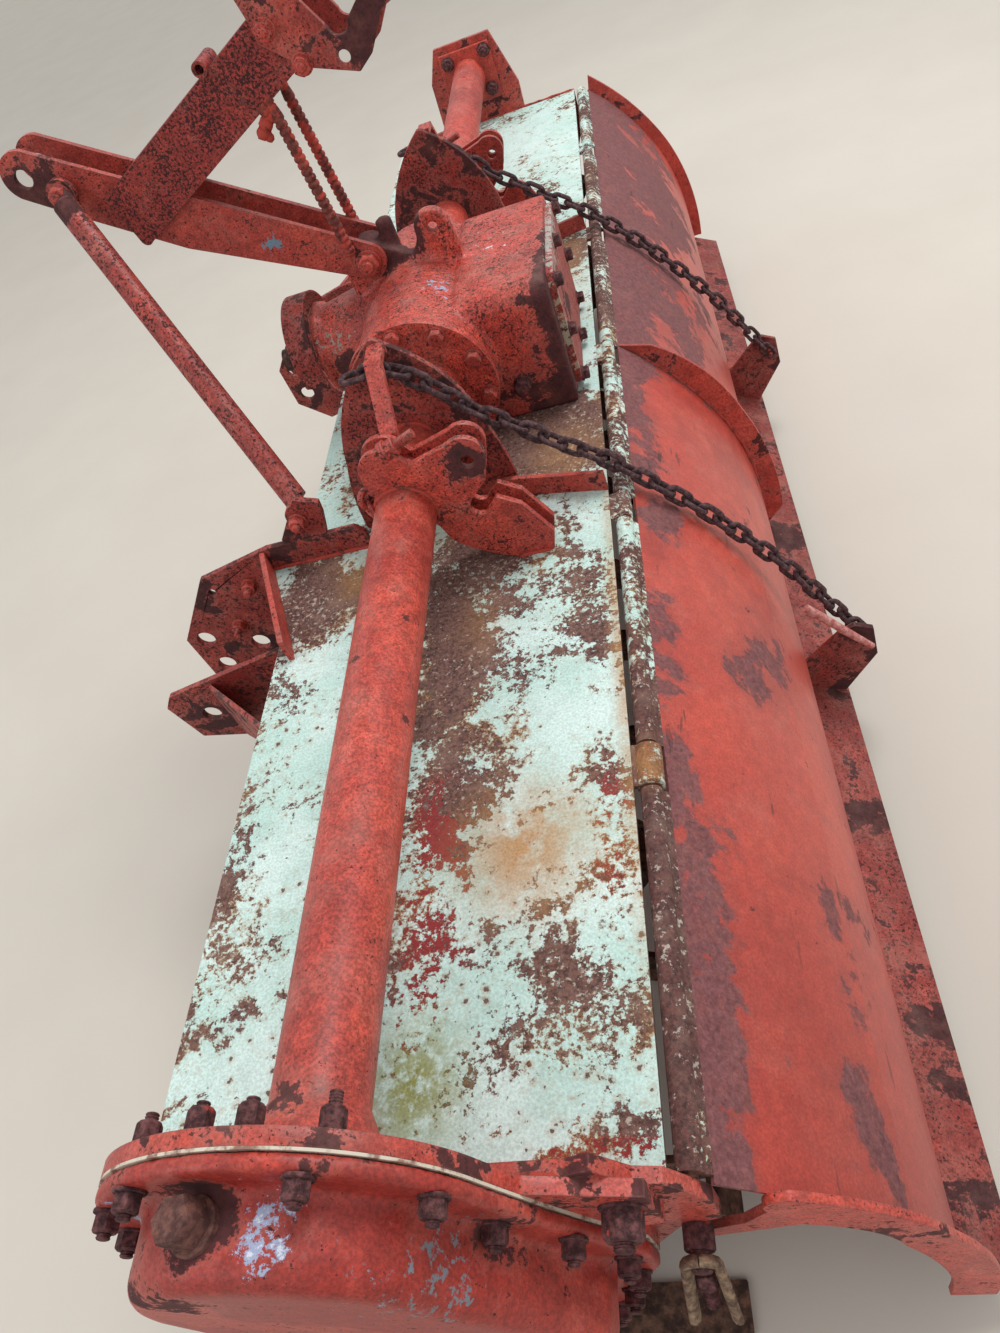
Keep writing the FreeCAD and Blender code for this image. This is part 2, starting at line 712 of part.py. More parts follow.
def blade(side):
    """Angled blade: flat shank on its disc, then the cutting wing turned to side."""
    tip = math.sqrt(rotor_r ** 2 - 14 ** 2)
    shank = xz([(-20, 52), (20, 52), (24, 96), (34, 150), (26, 222), (-14, tip), (-34, 196), (-24, 96)],
               0, blade_t)
    wing = xz([(26, 222), (-14, tip), (-18, tip - 10), (20, 211)], 0, blade_wing)
    whole = fuse(shank, wing)
    return whole if side > 0 else mirror(whole)


def rotor_blades():
    solids = []
    for d, y in enumerate(disc_places()):
        for k in range(blades_per_disc):
            side = 1 if k % 2 else -1
            b = blade(side)
            b.translate(Vector(rotor_x, y + (disc_t if side > 0 else 0), rotor_z))
            turn = 360.0 / blades_per_disc * k + disc_twist * d
            b.rotate(Vector(rotor_x, 0, rotor_z), Vector(0, 1, 0), turn)
            solids.append(b)
    return Part.makeCompound(solids)


def skid(plate_y, side_plate):
    """Depth skid welded under a side plate: sole with turned-up nose, and its web."""
    z, t = floor_z, skid_t
    sole = xz([(-230, z), (190, z), (262, z + 52), (256, z + 58), (188, z + t), (-230, z + t)],
              plate_y - skid_overhang, plate_y + side_t + skid_overhang)
    web = xz([(-110, z + t), (90, z + t), (84, rotor_z), (-114, rotor_z)], plate_y, plate_y + side_t)
    hub = across(rotor_x, rotor_z, plate_y, plate_y + side_t, case_low_r - 1)
    return fuse(sole, web.cut(side_plate).cut(hub))


def write(name, shape):
    shape = shape.copy()
    shape.translate(Vector(-shaft_reach, 0, 0))
    shape.exportStep(os.path.join("parts", name + ".step"))


def main():
    os.makedirs("parts", exist_ok=True)
    left, right, arm_shape = side_left(), side_right(), arm()
    pieces = {
        "tube_left": tube_left(),
        "tube_right": tube_right(),
        "deck": deck(),
        "front_beam": front_beam(),
        "front_apron": front_apron(),
        "side_plate_left": left,
        "side_plate_right": right,
        "bearing_left": bearing_left(),
        "bearing_right": bearing_right(),
        "case_gasket": gasket(),
        "drive_case": drive_case(),
        "gearbox": gearbox(),
        "gearbox_flange": gearbox_flange(),
        "gearbox_cover": gearbox_cover(),
        "input_shaft": input_shaft(),
        "mast_pin": mast_pin(),
        "arm": arm_shape,
        "deck_hinge": deck_hinge(),
        "hinge_rod": hinge_rod(),
        "gate_sheet": gate_sheet(),
        "gate_hinge": gate_hinge(),
        "gate_lip": gate_lip(),
        "gate_rib_left": gate_rib_left(),
        "gate_rib_middle": gate_rib(20, 6, 34),
        "gate_rib_right": gate_rib_right(),
        "rotor_shaft": rotor_shaft(),
        "rotor_blades": rotor_blades(),
        "skid_left": skid(left_y, left),
        "skid_right": skid(right_y - side_t, right),
    }
    pairs = {
        "support_plate": support_plate(),
        "fork": fork(),
        "deck_rib": deck_rib(),
        "rail": rail(),
        "hitch_inner": hitch_inner(),
        "hitch_outer": hitch_outer(),
        "mast_plate": mast_plate(),
        "hook_plate": hook_plate(),
        "brace": brace(arm_shape),
        "strut": strut(),
        "strut_foot": strut_foot_plate(),
        "chain_strap": strap(),
        "lift_chain": lift_chain(),
        "gate_lug": gate_lug(),
    }
    for name, shape in pairs.items():
        pieces[name + "_left"] = shape
        pieces[name + "_right"] = mirror(shape)
    for name, shape in pieces.items():
        write(name, shape)


main()
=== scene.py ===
"""Looks of the rotary tiller: rusty red enamel, flaking mint deck, bolts, welds and chains."""
import bpy
import bmesh
import math
import random
from mathutils import Matrix, Vector, noise


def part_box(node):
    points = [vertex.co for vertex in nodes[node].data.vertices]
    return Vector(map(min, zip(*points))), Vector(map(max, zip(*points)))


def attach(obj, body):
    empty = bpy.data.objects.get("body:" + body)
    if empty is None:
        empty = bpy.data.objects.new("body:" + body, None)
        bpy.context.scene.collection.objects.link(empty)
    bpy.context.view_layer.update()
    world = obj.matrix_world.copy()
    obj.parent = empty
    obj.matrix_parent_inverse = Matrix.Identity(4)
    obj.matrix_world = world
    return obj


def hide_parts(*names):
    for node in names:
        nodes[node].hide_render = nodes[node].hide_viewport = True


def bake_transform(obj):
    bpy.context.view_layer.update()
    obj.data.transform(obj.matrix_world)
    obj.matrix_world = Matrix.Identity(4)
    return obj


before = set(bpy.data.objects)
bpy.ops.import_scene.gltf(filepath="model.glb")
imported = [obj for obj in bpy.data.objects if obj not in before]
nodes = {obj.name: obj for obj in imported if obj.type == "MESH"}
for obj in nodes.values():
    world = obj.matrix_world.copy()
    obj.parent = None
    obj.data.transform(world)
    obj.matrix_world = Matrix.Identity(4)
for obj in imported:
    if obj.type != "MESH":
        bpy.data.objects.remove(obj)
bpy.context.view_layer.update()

# The part is measured in millimetres from the middle of the main tube; the frame's
# origin is the front end of the input shaft, this far ahead of the tube.
REACH = 262.0


def at(x, y, z):
    """Point of the row frame, in metres, from tube-centred millimetres."""
    return Vector(((x - REACH) / 1000, y / 1000, z / 1000))


X, Y, Z = Vector((1, 0, 0)), Vector((0, 1, 0)), Vector((0, 0, 1))
FLOOR_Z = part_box("skid_left")[0].z


# Mesh building

class Mesh:
    """Collects lofted shapes into one mesh."""

    def __init__(self, seed):
        self.bm = bmesh.new()
        self.random = random.Random(seed)

    def loft(self, rings, closed=False):
        """Skin through rings of equal length, capped, or joined end to end where closed."""
        rows = [[self.bm.verts.new(p) for p in ring] for ring in rings]
        n = len(rows[0])
        pairs = list(zip(rows, rows[1:]))
        if closed:
            pairs.append((rows[-1], rows[0]))
        for a, b in pairs:
            for i in range(n):
                j = (i + 1) % n
                self.bm.faces.new((a[i], a[j], b[j], b[i]))
        if not closed:
            self.bm.faces.new(list(reversed(rows[0])))
            self.bm.faces.new(rows[-1])

    def lathe(self, base, axis, profile, sides, corners=0, turn=0.0):
        """Revolve (radius, height) pairs about axis; corners=6 makes hexagonal rings.

        A third entry of a pair, if given, is how hexagonal that ring is, 0 to 1.
        """
        axis = axis.normalized()
        u = axis.orthogonal().normalized()
        v = axis.cross(u)
        rings = []
        for row in profile:
            r, h = row[0], row[1]
            angular = row[2] if len(row) > 2 else (1.0 if corners else 0.0)
            ring = []
            for i in range(sides):
                a = turn + math.tau * i / sides
                k = 1.0
                if corners:
                    step = math.tau / corners
                    off = (a - turn) % step - step / 2
                    k = 1.0 + angular * (math.cos(math.pi / corners) / math.cos(off) - 1.0)
                ring.append(base + (u * math.cos(a) + v * math.sin(a)) * r * k + axis * h)
            rings.append(ring)
        self.loft(rings)

    def sweep(self, path, radius, sides, closed=False, squash=1.0):
        """Tube along path; radius is a number, or a list with one for each point."""
        n = len(path)
        rings = []
        side = None
        for i, p in enumerate(path):
            if closed:
                along = path[(i + 1) % n] - path[i - 1]
            else:
                along = path[min(i + 1, n - 1)] - path[max(i - 1, 0)]
            along.normalize()
            if side is None:
                side = along.orthogonal().normalized()
            side = (side - along * side.dot(along)).normalized()
            other = along.cross(side)
            r = radius[i] if isinstance(radius, list) else radius
            rings.append([p + (side * math.cos(a) + other * math.sin(a) * squash) * r
                          for a in (math.tau * k / sides for k in range(sides))])
        self.loft(rings, closed)

    def bolt(self, base, axis, across, head, washer=True, stud=0.0):
        """Hexagon head or nut standing on base, with an optional washer and bare thread end."""
        turn = self.random.uniform(0, 1)
        axis = axis.normalized()
        h = 0.0
        if washer:
            r = across * 0.66
            self.lathe(base, axis, [(r * 0.96, -0.0005), (r, 0.0006), (r, 0.0020), (r * 0.93, 0.0026)], 20)
            h = 0.0024
        r = across / math.sqrt(3)
        tip = across * 0.46
        rows = [(r * 0.985, h), (r, h + head * 0.08), (r, h + head * 0.78),
                (r * 0.97, h + head * 0.88, 0.55), (tip, h + head, 0.0), (tip * 0.55, h + head * 1.01, 0.0)]
        self.lathe(base, axis, rows, 24, corners=6, turn=turn)
        if stud:
            self.thread(base + axis * (h + head * 0.98), axis, across * 0.30, stud)

    def thread(self, base, axis, r, length):
        pitch = 0.002
        rows = []
        turns = max(2, int(length / pitch))
        for i in range(turns):
            rows += [(r * 0.88, i * pitch), (r, (i + 0.5) * pitch)]
        rows += [(r * 0.86, turns * pitch), (r * 0.6, turns * pitch + r * 0.1)]
        self.lathe(base, axis, rows, 14)

    def weld(self, path, r, step=0.0022, sides=7):
        """Hand-laid bead along a polyline: overlapping ripples with an uneven height."""
        points = spaced(path, step)
        wobble = self.random.uniform(0, 50)
        sizes = []
        for i, p in enumerate(points):
            ripple = abs(math.sin(i * 1.05))
            uneven = noise.noise(Vector((i * 0.11 + wobble, 0, 0)))
            ends = min(1.0, (i + 0.6) / 2.5, (len(points) - i - 0.4) / 2.5)
            sizes.append(r * (0.78 + 0.22 * ripple + 0.30 * uneven) * max(0.25, ends))
        shifted = []
        for p in points:
            grain = p * 90
            nudge = Vector((noise.noise(grain), noise.noise(grain + X * 7), noise.noise(grain + Y * 7)))
            shifted.append(p + nudge * r * 0.3)
        self.sweep(shifted, sizes, sides)

    def finish(self, name, body, look, angle, bevel=0.0):
        """Turns the collected shapes into one piece, which rides on body if one is given.

        Edges sharper than angle, in degrees, are shaded as sharp.
        """
        bmesh.ops.recalc_face_normals(self.bm, faces=self.bm.faces)
        mesh = bpy.data.meshes.new(name)
        self.bm.to_mesh(mesh)
        self.bm.free()
        mesh.materials.append(MATERIALS[look])
        smooth_by_angle(mesh, angle)
        piece = bpy.data.objects.new(name, mesh)
        bpy.context.collection.objects.link(piece)
        if bevel:
            add_bevel(piece, bevel)
        if body:
            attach(piece, body)
        return piece


def smooth_by_angle(mesh, angle):
    """Smooth shading, with edges sharper than angle, in degrees, kept sharp."""
    bm = bmesh.new()
    bm.from_mesh(mesh)
    limit = math.radians(angle)
    for f in bm.faces:
        f.smooth = True
    for e in bm.edges:
        e.smooth = e.calc_face_angle(0.0) < limit
    bm.to_mesh(mesh)
    bm.free()


def add_bevel(piece, width):
    rounding = piece.modifiers.new("edges", "BEVEL")
    rounding.width = width
    rounding.segments = 2
    rounding.limit_method = "ANGLE"
    rounding.angle_limit = math.radians(32)


def spaced(path, step):
    """Points every step along a polyline."""
    points = [path[0].copy()]
    left = step
    for a, b in zip(path, path[1:]):
        length = (b - a).length
        along = (b - a).normalized()
        while left <= length:
            points.append(a + along * left)
            left += step
        left -= length
    return points


def arc_points(centre, u, v, r, a0, a1, count):
    """Points on an arc, from angle a0 to a1 in degrees, u towards 0 and v towards 90."""
    return [centre + (u * math.cos(a) + v * math.sin(a)) * r
            for a in (math.radians(a0 + (a1 - a0) * i / (count - 1)) for i in range(count))]


# Materials

def linear(code):
    """Linear colour from a hexadecimal one."""
    parts = [int(code[i:i + 2], 16) / 255 for i in (1, 3, 5)]
    return tuple(c / 12.92 if c <= 0.04045 else ((c + 0.055) / 1.055) ** 2.4 for c in parts) + (1.0,)


class Shader:
    """Short calls that build one material's node tree in object space."""

    def __init__(self, name):
        self.material = bpy.data.materials.new(name)
        self.material.use_nodes = True
        self.tree = self.material.node_tree
        self.bsdf = self.tree.nodes["Principled BSDF"]
        self.where = self.node("TexCoord").outputs["Object"]
        self.x, self.y, self.z = self.node("SeparateXYZ", Vector=self.where).outputs

    def link(self, value, socket):
        if isinstance(value, bpy.types.NodeSocket):
            self.tree.links.new(value, socket)
        else:
            socket.default_value = value

    def node(self, kind, **inputs):
        """New node, with the named inputs linked or set."""
        n = self.tree.nodes.new("ShaderNode" + kind)
        for name, value in inputs.items():
            self.link(value, n.inputs[name])
        return n

    def math(self, kind, a, b):
        n = self.node("Math")
        n.operation = kind
        self.link(a, n.inputs[0])
        self.link(b, n.inputs[1])
        return n.outputs[0]

    def add(self, a, b):
        return self.math("ADD", a, b)

    def mul(self, a, b):
        return self.math("MULTIPLY", a, b)

    def total(self, values):
        out = values[0]
        for v in values[1:]:
            out = self.add(out, v)
        return out

    def noise(self, scale, detail=4.0, rough=0.55, shift=0.0, stretch=None, warp=0.0):
        n = self.node("TexNoise", Scale=scale, Detail=detail, Roughness=rough, Distortion=warp,
                      Vector=self.moved(shift, stretch))
        return n.outputs["Fac"]

    def cells(self, scale, shift):
        return self.node("TexVoronoi", Scale=scale, Vector=self.moved(shift, None)).outputs["Distance"]

    def moved(self, shift, stretch):
        if not shift and not stretch:
            return self.where
        n = self.node("Mapping", Location=(shift, shift * 0.7, -shift * 1.3), Scale=stretch or (1, 1, 1),
                      Vector=self.where)
        return n.outputs[0]

    def step(self, value, low, high, out_low=0.0, out_high=1.0):
        """Smooth step of value from low to high."""
        n = self.node("MapRange")
        n.interpolation_type = "SMOOTHSTEP"
        for i, v in enumerate((value, low, high, out_low, out_high)):
            self.link(v, n.inputs[i])
        return n.outputs[0]

    def mix(self, a, b, factor):
        n = self.node("Mix", Factor=factor)
        n.data_type = "RGBA"
        self.link(a, n.inputs[6])
        self.link(b, n.inputs[7])
        return n.outputs[2]

    def blob(self, centre, size, strength=1.0):
        """Soft ellipsoid: strength at its centre, 0 past its size."""
        n = self.node("Mapping", Location=[-c / s for c, s in zip(centre, size)], Scale=[1 / s for s in size],
                      Vector=self.where)
        length = self.node("VectorMath")
        length.operation = "LENGTH"
        self.link(n.outputs[0], length.inputs[0])
        return self.step(length.outputs["Value"], 1.0, 0.0, 0.0, strength)

    def scaled(self, color, factor):
        n = self.node("VectorMath")
        n.operation = "SCALE"
        self.link(color, n.inputs[0])
        self.link(factor, n.inputs["Scale"])
        return n.outputs[0]

    def upward(self):
        """How far a surface faces up, 0 to 1."""
        normal = self.node("NewGeometry").outputs["Normal"]
        return self.node("SeparateXYZ", Vector=normal).outputs[2]

    def edges(self, radius):
        """1 along sharp edges, 0 on flat faces."""
        rounded = self.node("Bevel", Radius=radius)
        rounded.samples = 4
        dot = self.node("VectorMath")
        dot.operation = "DOT_PRODUCT"
        self.link(rounded.outputs[0], dot.inputs[0])
        self.link(self.node("NewGeometry").outputs["Normal"], dot.inputs[1])
        return self.step(dot.outputs["Value"], 0.97, 0.80)

    def finish(self, color, rough, height, depth, strength, specular=0.4):
        """Sets the look; height is a bump, depth in metres deep where strength is 1."""
        bump = self.node("Bump", Strength=strength, Distance=depth, Height=height).outputs[0]
        for name, value in (("Base Color", color), ("Roughness", rough), ("Specular IOR Level", specular),
                            ("Normal", bump)):
            self.link(value, self.bsdf.inputs[name])
        return self.material


RED = linear("#B8473B")
RED_DARK = linear("#963830")
RED_BRIGHT = linear("#CC5240")
RED_FADED = linear("#C57264")
MAROON = linear("#4A282C")
RUST_DARK = linear("#33201F")
RUST_BROWN = linear("#6E463C")
RUST_ORANGE = linear("#9C5530")
MINT = linear("#BBD9CF")
MINT_LIGHT = linear("#D2E6DF")
UNDERCOAT = linear("#8E2F30")
BLUE = linear("#9DB4D2")
TEAL = linear("#5F8DA0")
GREY_GREEN = linear("#8E9C8F")
WHITE_FLECK = linear("#D9DDE6")
DUST = linear("#A58578")
PIT = linear("#241519")
EDGE_CHALK = linear("#CE8A7C")
DECK_RUST_DARK = linear("#3E2C2A")
DECK_RUST = linear("#7E5A50")
DECK_RUST_RED = linear("#4A2E2B")
DECK_RUST_PALE = linear("#95786A")
DECK_PIT = linear("#5C3B30")
UNDERCOAT_DARK = linear("#5A2A2A")
LIME = linear("#C9BFB0")
MINT_GRIME = linear("#93A89B")
OCHRE_RING = linear("#B07A42")
OCHRE_RIM = linear("#B07C42")
OCHRE_STAIN = linear("#B58652")
LICHEN = linear("#86883F")
SCALE_DARK = linear("#573438")
SCALE_LIGHT = linear("#7E5152")
SCALE_RED = linear("#8E5048")


def enamel(name, tone=RED, pits=0.45, pit_scale=230.0, pepper=0.0, rust=0.30, rust_scale=14.0,
           rust_tone=MAROON, bright=0.35, shift=0.0, blobs=(), marks=(), gloss=0.48, dust=0.25, wear=0.6,
           grit=1.0, fade=0.36):
    """Old red enamel.

    pits is how many small dark pits it has, pepper how densely black specks cover
    it, rust how much bare brown patch, bright how much of the fresher coat, fade how
    much paler patch, grit how uneven its tone is, dust how much dust lies on top and
    wear how bare its edges are. gloss is the sound paint's roughness. blobs adds
    (centre, size, strength) to the rust, and marks are (centre, size, colour,
    amount) flecks of other paint.
    """
    s = Shader(name)
    broad = s.noise(5.0, 3.0, shift=shift)
    color = s.mix(RED_DARK, tone, s.step(broad, 0.25, 0.60))
    fresh = s.step(s.noise(11.0, 6.0, 0.6, shift + 3), 0.62 - bright * 0.3, 0.70 - bright * 0.3)
    color = s.mix(color, RED_BRIGHT, s.mul(fresh, 0.35))
    faded = s.step(s.noise(19.0, 8.0, 0.65, shift + 9), 0.50, 0.75)
    color = s.mix(color, RED_FADED, s.mul(faded, fade))
    sand = s.step(s.noise(360.0, 3.0, 0.70, shift), 0.34, 0.66, 1.0 - 0.32 * grit, 1.0 + 0.26 * grit)
    cloud = s.step(s.noise(75.0, 6.0, 0.68, shift + 6), 0.34, 0.66, 1.0 - 0.18 * grit, 1.0 + 0.16 * grit)
    color = s.scaled(color, s.mul(sand, cloud))

    field = s.noise(rust_scale, 9.0, 0.66, shift + 17, warp=0.3)
    field = s.add(field, s.mul(s.noise(140.0, 6.0, 0.72, shift + 41), 0.22))
    field = s.total([field] + [s.blob(*b) for b in blobs])
    line = 0.83 - rust * 0.35
    bare = s.step(field, line, line + 0.030)
    halo = s.mul(s.step(field, line - 0.06, line), s.step(field, line + 0.05, line))
    grain = s.noise(150.0, 6.0, 0.72, shift + 5)
    rust_color = s.mix(RUST_DARK, rust_tone, s.step(grain, 0.35, 0.62))
    brown = s.step(s.noise(34.0, 5.0, 0.6, shift + 2), 0.5, 0.72)
    rust_color = s.mix(rust_color, RUST_BROWN, s.mul(brown, 0.55))

    cover = s.step(s.noise(16.0, 4.0, 0.6, shift + 23), 0.30, 0.75)
    dots = s.cells(pit_scale, shift)
    dense = s.add(s.mul(cover, 0.34 * pits + 0.04), pits * 0.14)
    ragged = s.add(dots, s.mul(s.noise(pit_scale * 1.7, 3.0, 0.6), 0.35))
    pit = s.step(ragged, s.add(dense, 0.10), s.add(dense, 0.02))
    chipped = s.noise(pit_scale * 0.28, 5.0, 0.7, shift + 31)
    chips = s.step(chipped, 0.70 - pits * 0.16, 0.735 - pits * 0.16)
    pit = s.math("MAXIMUM", pit, s.mul(chips, 0.9))
    if pepper:
        gathered = s.mul(s.noise(24.0, 4.0, 0.6, shift + 28), 0.32)
        specks = s.add(s.noise(240.0, 3.0, 0.66, shift + 27), gathered)
        edge = 0.86 - pepper * 0.20
        pit = s.math("MAXIMUM", pit, s.step(specks, edge, edge + 0.035))

    color = s.mix(color, PIT, s.mul(pit, 0.86))
    color = s.mix(color, RED_FADED, s.mul(halo, 0.25))
    color = s.mix(color, rust_color, s.mul(bare, 0.92))
    for centre, size, paint, amount in marks:
        near = s.blob(centre, size)
        spot = s.add(s.noise(85.0, 8.0, 0.74, shift), s.mul(near, amount))
        spot = s.mul(s.step(spot, 0.66, 0.69), s.step(near, 0.02, 0.12))
        color = s.mix(color, paint, s.mul(spot, 0.85))
    if wear:
        rim = s.edges(0.003)
        flaw = s.noise(60.0, 5.0, 0.7, shift + 1)
        worn = s.step(s.add(s.mul(rim, 0.75), s.mul(flaw, 0.6)), 0.72, 0.90)
        chalk = s.mul(rim, s.step(flaw, 0.56, 0.44))
        color = s.mix(color, EDGE_CHALK, s.mul(chalk, 0.55))
        color = s.mix(color, s.mix(RUST_DARK, RUST_BROWN, grain), s.mul(worn, wear))
    if dust:
        dusty = s.step(s.noise(24.0, 6.0, 0.65, shift + 40), 0.40, 0.80)
        lying = s.mul(s.step(s.upward(), 0.45, 0.95), dusty)
        color = s.mix(color, DUST, s.mul(lying, dust))

    rough = s.add(gloss, s.mul(s.math("MAXIMUM", bare, s.mul(pit, 0.8)), 0.88 - gloss))
    fine = s.mul(s.noise(420.0, 4.0, 0.7, shift), s.add(0.16 * grit, s.mul(bare, 0.55)))
    dents = s.mul(s.noise(45.0, 3.0, 0.5, shift), 0.25)
    height = s.total([s.mul(pit, -0.55), s.mul(bare, -0.40), fine, dents])
    return s.finish(color, rough, height, 0.0009, 0.75)


def rusty_iron(name, tone, other, scale, shift, red=0.0):
    """Bare iron with layered brown rust; red leaves that much old paint on it."""
    s = Shader(name)
    grain = s.noise(scale, 8.0, 0.68, shift)
    color = s.mix(tone, other, s.step(grain, 0.38, 0.70))
    flecks = s.step(s.noise(scale * 2.6, 4.0, 0.7, shift + 8), 0.58, 0.68)
    color = s.mix(color, RUST_ORANGE, s.mul(flecks, 0.35))
    if red:
        left = s.step(s.noise(scale * 0.4, 8.0, 0.66, shift + 4), 0.66 - red * 0.4, 0.72 - red * 0.4)
        color = s.mix(color, RED, s.mul(left, 0.85))
    height = s.add(grain, s.mul(s.noise(scale * 5, 4.0, 0.7, shift), 0.5))
    rough = s.step(grain, 0.2, 0.9, 0.92, 0.66)
    return s.finish(color, rough, height, 0.0012, 0.8, specular=0.3)


def deck_paint(name, blobs=(), ochres=(), greens=(), reds=(), bias=0.0, shift=0.0, side_rust=0.6,
               rust_tone=DECK_RUST):
    """Mint enamel over red undercoat over rust, flaking more where blobs say.

    The undercoat is a thin rim round the flakes, and wide where reds say. A higher
    bias leaves more paint, and surfaces that face up less than side_rust are bare.
    """
    s = Shader(name)
    coarse = s.noise(11.0, 12.0, 0.70, shift, warp=0.3)
    fine = s.noise(70.0, 9.0, 0.76, shift + 6)
    peppered = s.step(s.noise(6.0, 3.0, 0.5, shift + 70), 0.40, 0.62)
    uneven = s.math("SUBTRACT", s.noise(150.0, 7.0, 0.74, shift + 71), 0.5)
    tiny = s.mul(uneven, s.add(s.mul(peppered, 0.42), 0.10))
    level = s.total([s.mul(coarse, 0.58), s.mul(fine, 0.42), tiny])
    red_here = s.total([s.blob(*r) for r in reds]) if reds else 0.0
    flaked = [s.blob(centre, size, -strength) for centre, size, strength in blobs]
    level = s.total([level, bias, s.mul(red_here, -0.050)] + flaked)
    paint = s.step(level, 0.448, 0.460)
    low = s.math("SUBTRACT", 0.442, s.mul(red_here, 0.115))
    under = s.step(level, low, s.add(low, 0.010))
    mint = s.mix(MINT, MINT_LIGHT, s.step(s.noise(7.0, 5.0, 0.6, shift + 2), 0.35, 0.65))
    grime = s.step(s.noise(34.0, 9.0, 0.74, shift + 12), 0.47, 0.74)
    mint = s.mix(mint, MINT_GRIME, s.mul(grime, 0.45))
    grain = s.noise(190.0, 6.0, 0.74, shift + 5)
    rust = s.mix(DECK_RUST_DARK, rust_tone, s.step(grain, 0.34, 0.62))
    pale = s.step(s.noise(22.0, 7.0, 0.66, shift + 3), 0.46, 0.70)
    rust = s.mix(rust, DECK_RUST_PALE, s.mul(pale, 0.40))
    dark = s.step(s.noise(46.0, 6.0, 0.7, shift + 33), 0.56, 0.64)
    rust = s.mix(rust, DECK_RUST_RED, s.mul(dark, 0.55))
    specks = s.add(s.noise(150.0, 4.0, 0.66, shift + 9), s.mul(s.noise(12.0, 3.0, 0.5, shift + 61), 0.35))
    rust = s.mix(rust, LIME, s.mul(s.step(specks, 0.76, 0.83), 0.65))
    red = s.mix(UNDERCOAT, UNDERCOAT_DARK, s.mul(s.step(grain, 0.50, 0.68), 0.6))
    color = s.mix(rust, red, under)
    color = s.mix(color, mint, paint)
    dots = s.cells(75.0, shift)
    pitting = s.step(s.noise(9.0, 4.0, 0.6, shift + 21), 0.38, 0.66)
    pitting = s.mul(pitting, s.step(s.noise(50.0, 2.0, 0.5, shift + 72), 0.38, 0.66, 0.25, 1.0))
    ragged = s.add(dots, s.mul(s.math("SUBTRACT", s.noise(160.0, 5.0, 0.7, shift + 73), 0.5), 0.9))
    dot = s.step(ragged, s.add(0.03, s.mul(pitting, 0.24)), s.mul(pitting, 0.18))
    ring = s.mul(s.step(ragged, 0.50, 0.20), s.mul(pitting, 0.70))
    color = s.mix(color, OCHRE_RING, s.mul(s.mul(ring, paint), 0.65))
    color = s.mix(color, DECK_PIT, s.mul(dot, 0.92))
    edge = s.mul(s.step(level, 0.425, 0.452), s.step(level, 0.495, 0.457))
    stained = s.step(s.noise(8.0, 5.0, 0.6, shift + 50), 0.40, 0.62)
    color = s.mix(color, OCHRE_RIM, s.mul(edge, s.mul(stained, 0.75)))
    for centre, size, strength in ochres:
        stain = s.mul(s.blob(centre, size), s.step(s.noise(26.0, 8.0, 0.68, shift + 14), 0.24, 0.56))
        color = s.mix(color, OCHRE_STAIN, s.mul(stain, strength))
    for centre, size, strength in greens:
        moss = s.mul(s.blob(centre, size), s.step(s.noise(70.0, 8.0, 0.72, shift + 15), 0.34, 0.56))
        color = s.mix(color, LICHEN, s.mul(moss, strength))
    sand = s.step(s.noise(360.0, 3.0, 0.70, shift), 0.33, 0.67, 0.84, 1.13)
    color = s.scaled(color, sand)
    bare = s.mix(DECK_RUST_DARK, rust_tone, grain)
    color = s.mix(bare, color, s.step(s.upward(), side_rust - 0.3, side_rust))
    rough = s.add(0.50, s.mul(s.math("SUBTRACT", 1.0, paint), 0.38))
    gritty = s.mul(s.noise(500.0, 3.0, 0.7), 0.10)
    coats = s.add(s.mul(paint, 0.50), s.mul(under, 0.18))
    height = s.total([coats, s.mul(dot, -0.30), s.mul(grain, 0.30), gritty])
    return s.finish(color, rough, height, 0.0011, 0.8)


def gasket_paste(name):
    s = Shader(name)
    n = s.noise(80.0, 5.0, 0.6)
    color = s.mix(linear("#D2C7B4"), linear("#8F6E60"), s.step(n, 0.46, 0.62))
    return s.finish(color, 0.8, s.noise(200.0, 4.0), 0.001, 0.6)


# Purple-brown patches of the tailgate: middle and half sizes, in metres, and strength
GATE_PATCHES = (
    ((-0.60, 0.66, -0.20), (0.06, 0.09, 0.10), 0.13), ((-0.66, 0.99, -0.28), (0.05, 0.10, 0.10), 0.10),
    ((-0.58, 0.30, -0.16), (0.05, 0.22, 0.08), 0.08), ((-0.64, 1.14, -0.27), (0.06, 0.08, 0.12), 0.11),
    ((-0.60, 1.13, -0.17), (0.03, 0.08, 0.05), 0.12),
)


